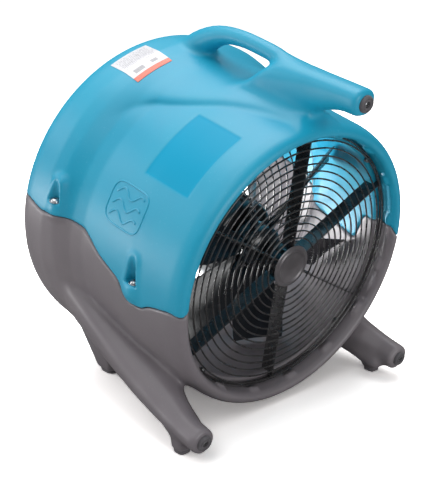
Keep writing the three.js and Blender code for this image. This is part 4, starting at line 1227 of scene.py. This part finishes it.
def gland():
    outline = [
        (5.2, -22), (8, -22), (8, 0.3), (10.5, 0.5), (10.8, 1.2), (10.8, 4.6), (10.2, 5.4), (8.4, 5.8),
        (7.6, 8), (7.4, 11), (6.6, 12.2), (5.2, 12),
    ]
    p = polar(PANEL_ANGLE, GLAND_R, REAR_Y)
    v, f = block(-0.8, 0.8, 1.2, 5.2, 10.2, 11.4)
    parts = [turned(outline, 48, p)] + [(turn(v, a) + p, f) for a in around(12)]
    piece("strain_relief", parts, [BLACK], "cord_gland", slot="cord_jacket")


def hook():
    outline = [
        (290, -3), (424, -3), (428, -2), (431, 2), (432, 12), (429.2, 12), (427.6, 4), (426, 1), (422, 0),
        (322, 0), (322, 4.2), (290, 4.2),
    ]
    v, f = prism([(y, z + HOOK_R) for y, z in outline], HOOK_HALF)
    bevel(piece("cord_arm", [(turn(v, HOOK_ANGLE), f)], [STEEL], "cord_hook"), 0.8, 3)


# ---- label ----
def label():
    """Thin sheet laid on the upper shell, with a UV map for its print."""
    n = 25
    total = n * n
    theta, y = np.meshgrid(-22 * DEG + np.linspace(-34, 34, n) / 262, np.linspace(251, 318, n))
    skin_r = skin_radius(theta, y, 225, 290)
    verts = [np.stack([r * np.sin(theta), y, r * np.cos(theta)], -1) for r in (skin_r + 0.75, skin_r + 0.1)]
    faces = []
    for i in range(n - 1):
        for a in range(i * n, i * n + n - 1):
            faces.append((a, a + 1, a + n + 1, a + n))
            faces.append((total + a, total + a + n, total + a + n + 1, total + a + 1))
    rim = [*range(n), *range(2 * n - 1, total, n), *range(total - 2, total - n - 1, -1)]
    rim += range(total - 2 * n, 0, -n)
    faces += [(a, total + a, total + b, b) for a, b in zip(rim, rim[1:] + rim[:1])]
    sheet = piece("blank_label", [(np.concatenate(verts).reshape(-1, 3), faces)], [LABEL], "rating_label").data
    index = np.empty(len(sheet.loops), np.int32)
    sheet.loops.foreach_get("vertex_index", index)
    index %= total
    flat = np.stack([index % n, index // n], 1) / (n - 1)
    sheet.uv_layers.new(name="sheet").data.foreach_set("uv", flat.astype(np.float32).ravel())


# ---- build ----
shell_pieces()
for side, word in SIDES:
    badge(side, word)
foot_pads()
label()
front_grille()
grille_disc()
rear_grille()
for k, a in enumerate(GUARD_SCREWS):
    spots = (("front", FRONT_SCREW_R, 6.6, -1, 22), ("rear", REAR_SCREW_R, 184.2, 1, 11))
    for word, radius, y, facing, length in spots:
        name, node = f"guard_screw_{word}_{k + 1}", f"{word}_guard_screw_{k + 1}"
        axial_screw(name, node, polar(a * DEG, radius), y, facing, 1.9, length)
for side, word in SIDES:
    for place in SCREWS:
        side_screw(side, word, place)
for word, angle in (("handle", 0.0), ("left", -LEG_ANGLE), ("right", LEG_ANGLE)):
    bumper(word, angle)
for k, angle in enumerate(BLADE_ANGLES):
    blade(k + 1, angle)
hub()
motor()
capacitor()
control_panel()
cord()
gland()
hook()

# ---- CAD nodes that stay as they are, with finished materials ----
KEPT = {
    "impeller_nut": (ZINC, 0.4),
    "motor_shaft": (STEEL, 0.2),
    "rotor_core": (CORE, 0.4),
    "stator_core": (CORE, 0.4),
    "front_bearing": (STEEL, 0.3),
    "rear_bearing": (STEEL, 0.3),
    "motor_bolt_": (ZINC, 0.3),
    "capacitor_saddle": (BLACK, 0.6),
}
for name, node in frame["nodes"].items():
    if node.hide_render:
        continue
    mat, width = next(v for k, v in KEPT.items() if name.startswith(k))
    if not node.data.materials:
        node.data.materials.append(mat)
    for slot in node.material_slots:
        slot.link = "OBJECT"
        slot.material = mat
    node.modifiers.new("weld", "WELD").merge_threshold = 1e-5
    bevel(node, width, 2, 50)

# ---- studio ----
LENS, SENSOR = 72, 36
AIM_AZ, AIM_EL = -41.04 * DEG, 19.07 * DEG
FROM_AZ, FROM_EL, DISTANCE = -45.15 * DEG, 19.95 * DEG, 1.529
DOME_LOW, DOME_TOP, DOME_SEEN = 0.2, 0.5, 1.2


def direction(az, el):
    return Vector((math.sin(az) * math.cos(el), -math.cos(az) * math.cos(el), math.sin(el)))


def aimed(name, data, place, along):
    obj = link(bpy.data.objects.new(name, data))
    obj.location = place
    obj.rotation_mode = "QUATERNION"
    obj.rotation_quaternion = along.to_track_quat("-Z", "Y")
    return obj


def softbox(name, place, size, power, aim=(0, -0.02, 0.25), spread=180):
    """Area light; its place is a point, or (azimuth, elevation, distance) from the aim in a tuple."""
    data = bpy.data.lights.new(name, "AREA")
    data.shape = "RECTANGLE"
    data.size, data.size_y = size
    data.energy = power
    data.spread = spread * DEG
    aim = Vector(aim)
    if isinstance(place, tuple):
        place = aim + place[2] * direction(place[0] * DEG, place[1] * DEG)
    aimed(name, data, place, aim - place).visible_camera = False


cam_data = bpy.data.cameras.new("camera")
cam_data.sensor_width, cam_data.lens = SENSOR, LENS
place = Vector(SPIN["pos_m"]) + DISTANCE * direction(FROM_AZ, FROM_EL)
bpy.context.scene.camera = aimed("camera", cam_data, place, -direction(AIM_AZ, AIM_EL))

softbox("overhead", (165, 77, 2.4), (2.3, 2.1), 59)
softbox("left_side", (-70, 46, 2.8), (1.4, 1.2), 12)
softbox("left_rear", (-136, 30, 2.8), (1.6, 1.0), 14)
softbox("left_low", (-132, 0, 2.0), (0.8, 0.3), 10)
softbox("front_low", (-4, 7, 2.6), (1.8, 0.6), 25)
inlet, inside = FAN @ Vector((-70, 356, -110)), FAN @ Vector((170, 20, 150))
softbox("inlet", inlet, (0.26, 0.2), 1.3, aim=inside, spread=80)

n = Nodes(bpy.data.worlds.new("studio"))
bpy.context.scene.world = n.owner
ray = n.node("LightPath").outputs
rise = n.ramp(n.node("SeparateXYZ", Vector=n.direction).outputs[2], 0.05, 0.85, DOME_LOW, DOME_TOP)
dome = n.times(rise, n.math("MULTIPLY_ADD", ray["Is Glossy Ray"], -0.55, 1.0))
seen = n.math("MULTIPLY_ADD", ray["Is Camera Ray"], n.math("SUBTRACT", DOME_SEEN, dome), dome)
n.set("Background", Color=(1, 1, 1, 1), Strength=seen)

# The paper is brighter to the camera than to the object, as in a high-key studio.
mesh = bpy.data.meshes.new("floor")
mesh.from_pydata([(-30, -30, 0), (30, -30, 0), (30, 30, 0), (-30, 30, 0)], [], [(0, 1, 2, 3)])
n = material("floor_paper")
ray = n.node("LightPath").outputs
away = n.node("VectorMath", operation="LENGTH", i0=n.place).outputs["Value"]
bright = n.ramp(n.noise(3.0, 2.0), 0.3, 0.7, 0.97, 1.0)
bright = n.times(bright, n.ramp(ray["Is Camera Ray"], 0.0, 1.0, 0.6, 2.0))
bright = n.times(bright, n.ramp(ray["Is Glossy Ray"], 0.0, 1.0, 1.0, 0.2))
bright = n.times(bright, n.ramp(away, 0.5, 1.4, 1.0, 1.3))
grey = n.node("CombineColor", Red=bright, Green=bright, Blue=bright).outputs[0]
matt = n.node("BsdfDiffuse", Color=n.mix(1.0, (1.0, 0.98, 0.97), grey, blend="MULTIPLY"))
n.set("Material Output", Surface=matt.outputs[0])
mesh.materials.append(n.owner)
link(bpy.data.objects.new("floor", mesh))

bpy.context.scene.view_settings.view_transform = "Standard"
bpy.context.scene.view_settings.look = "None"
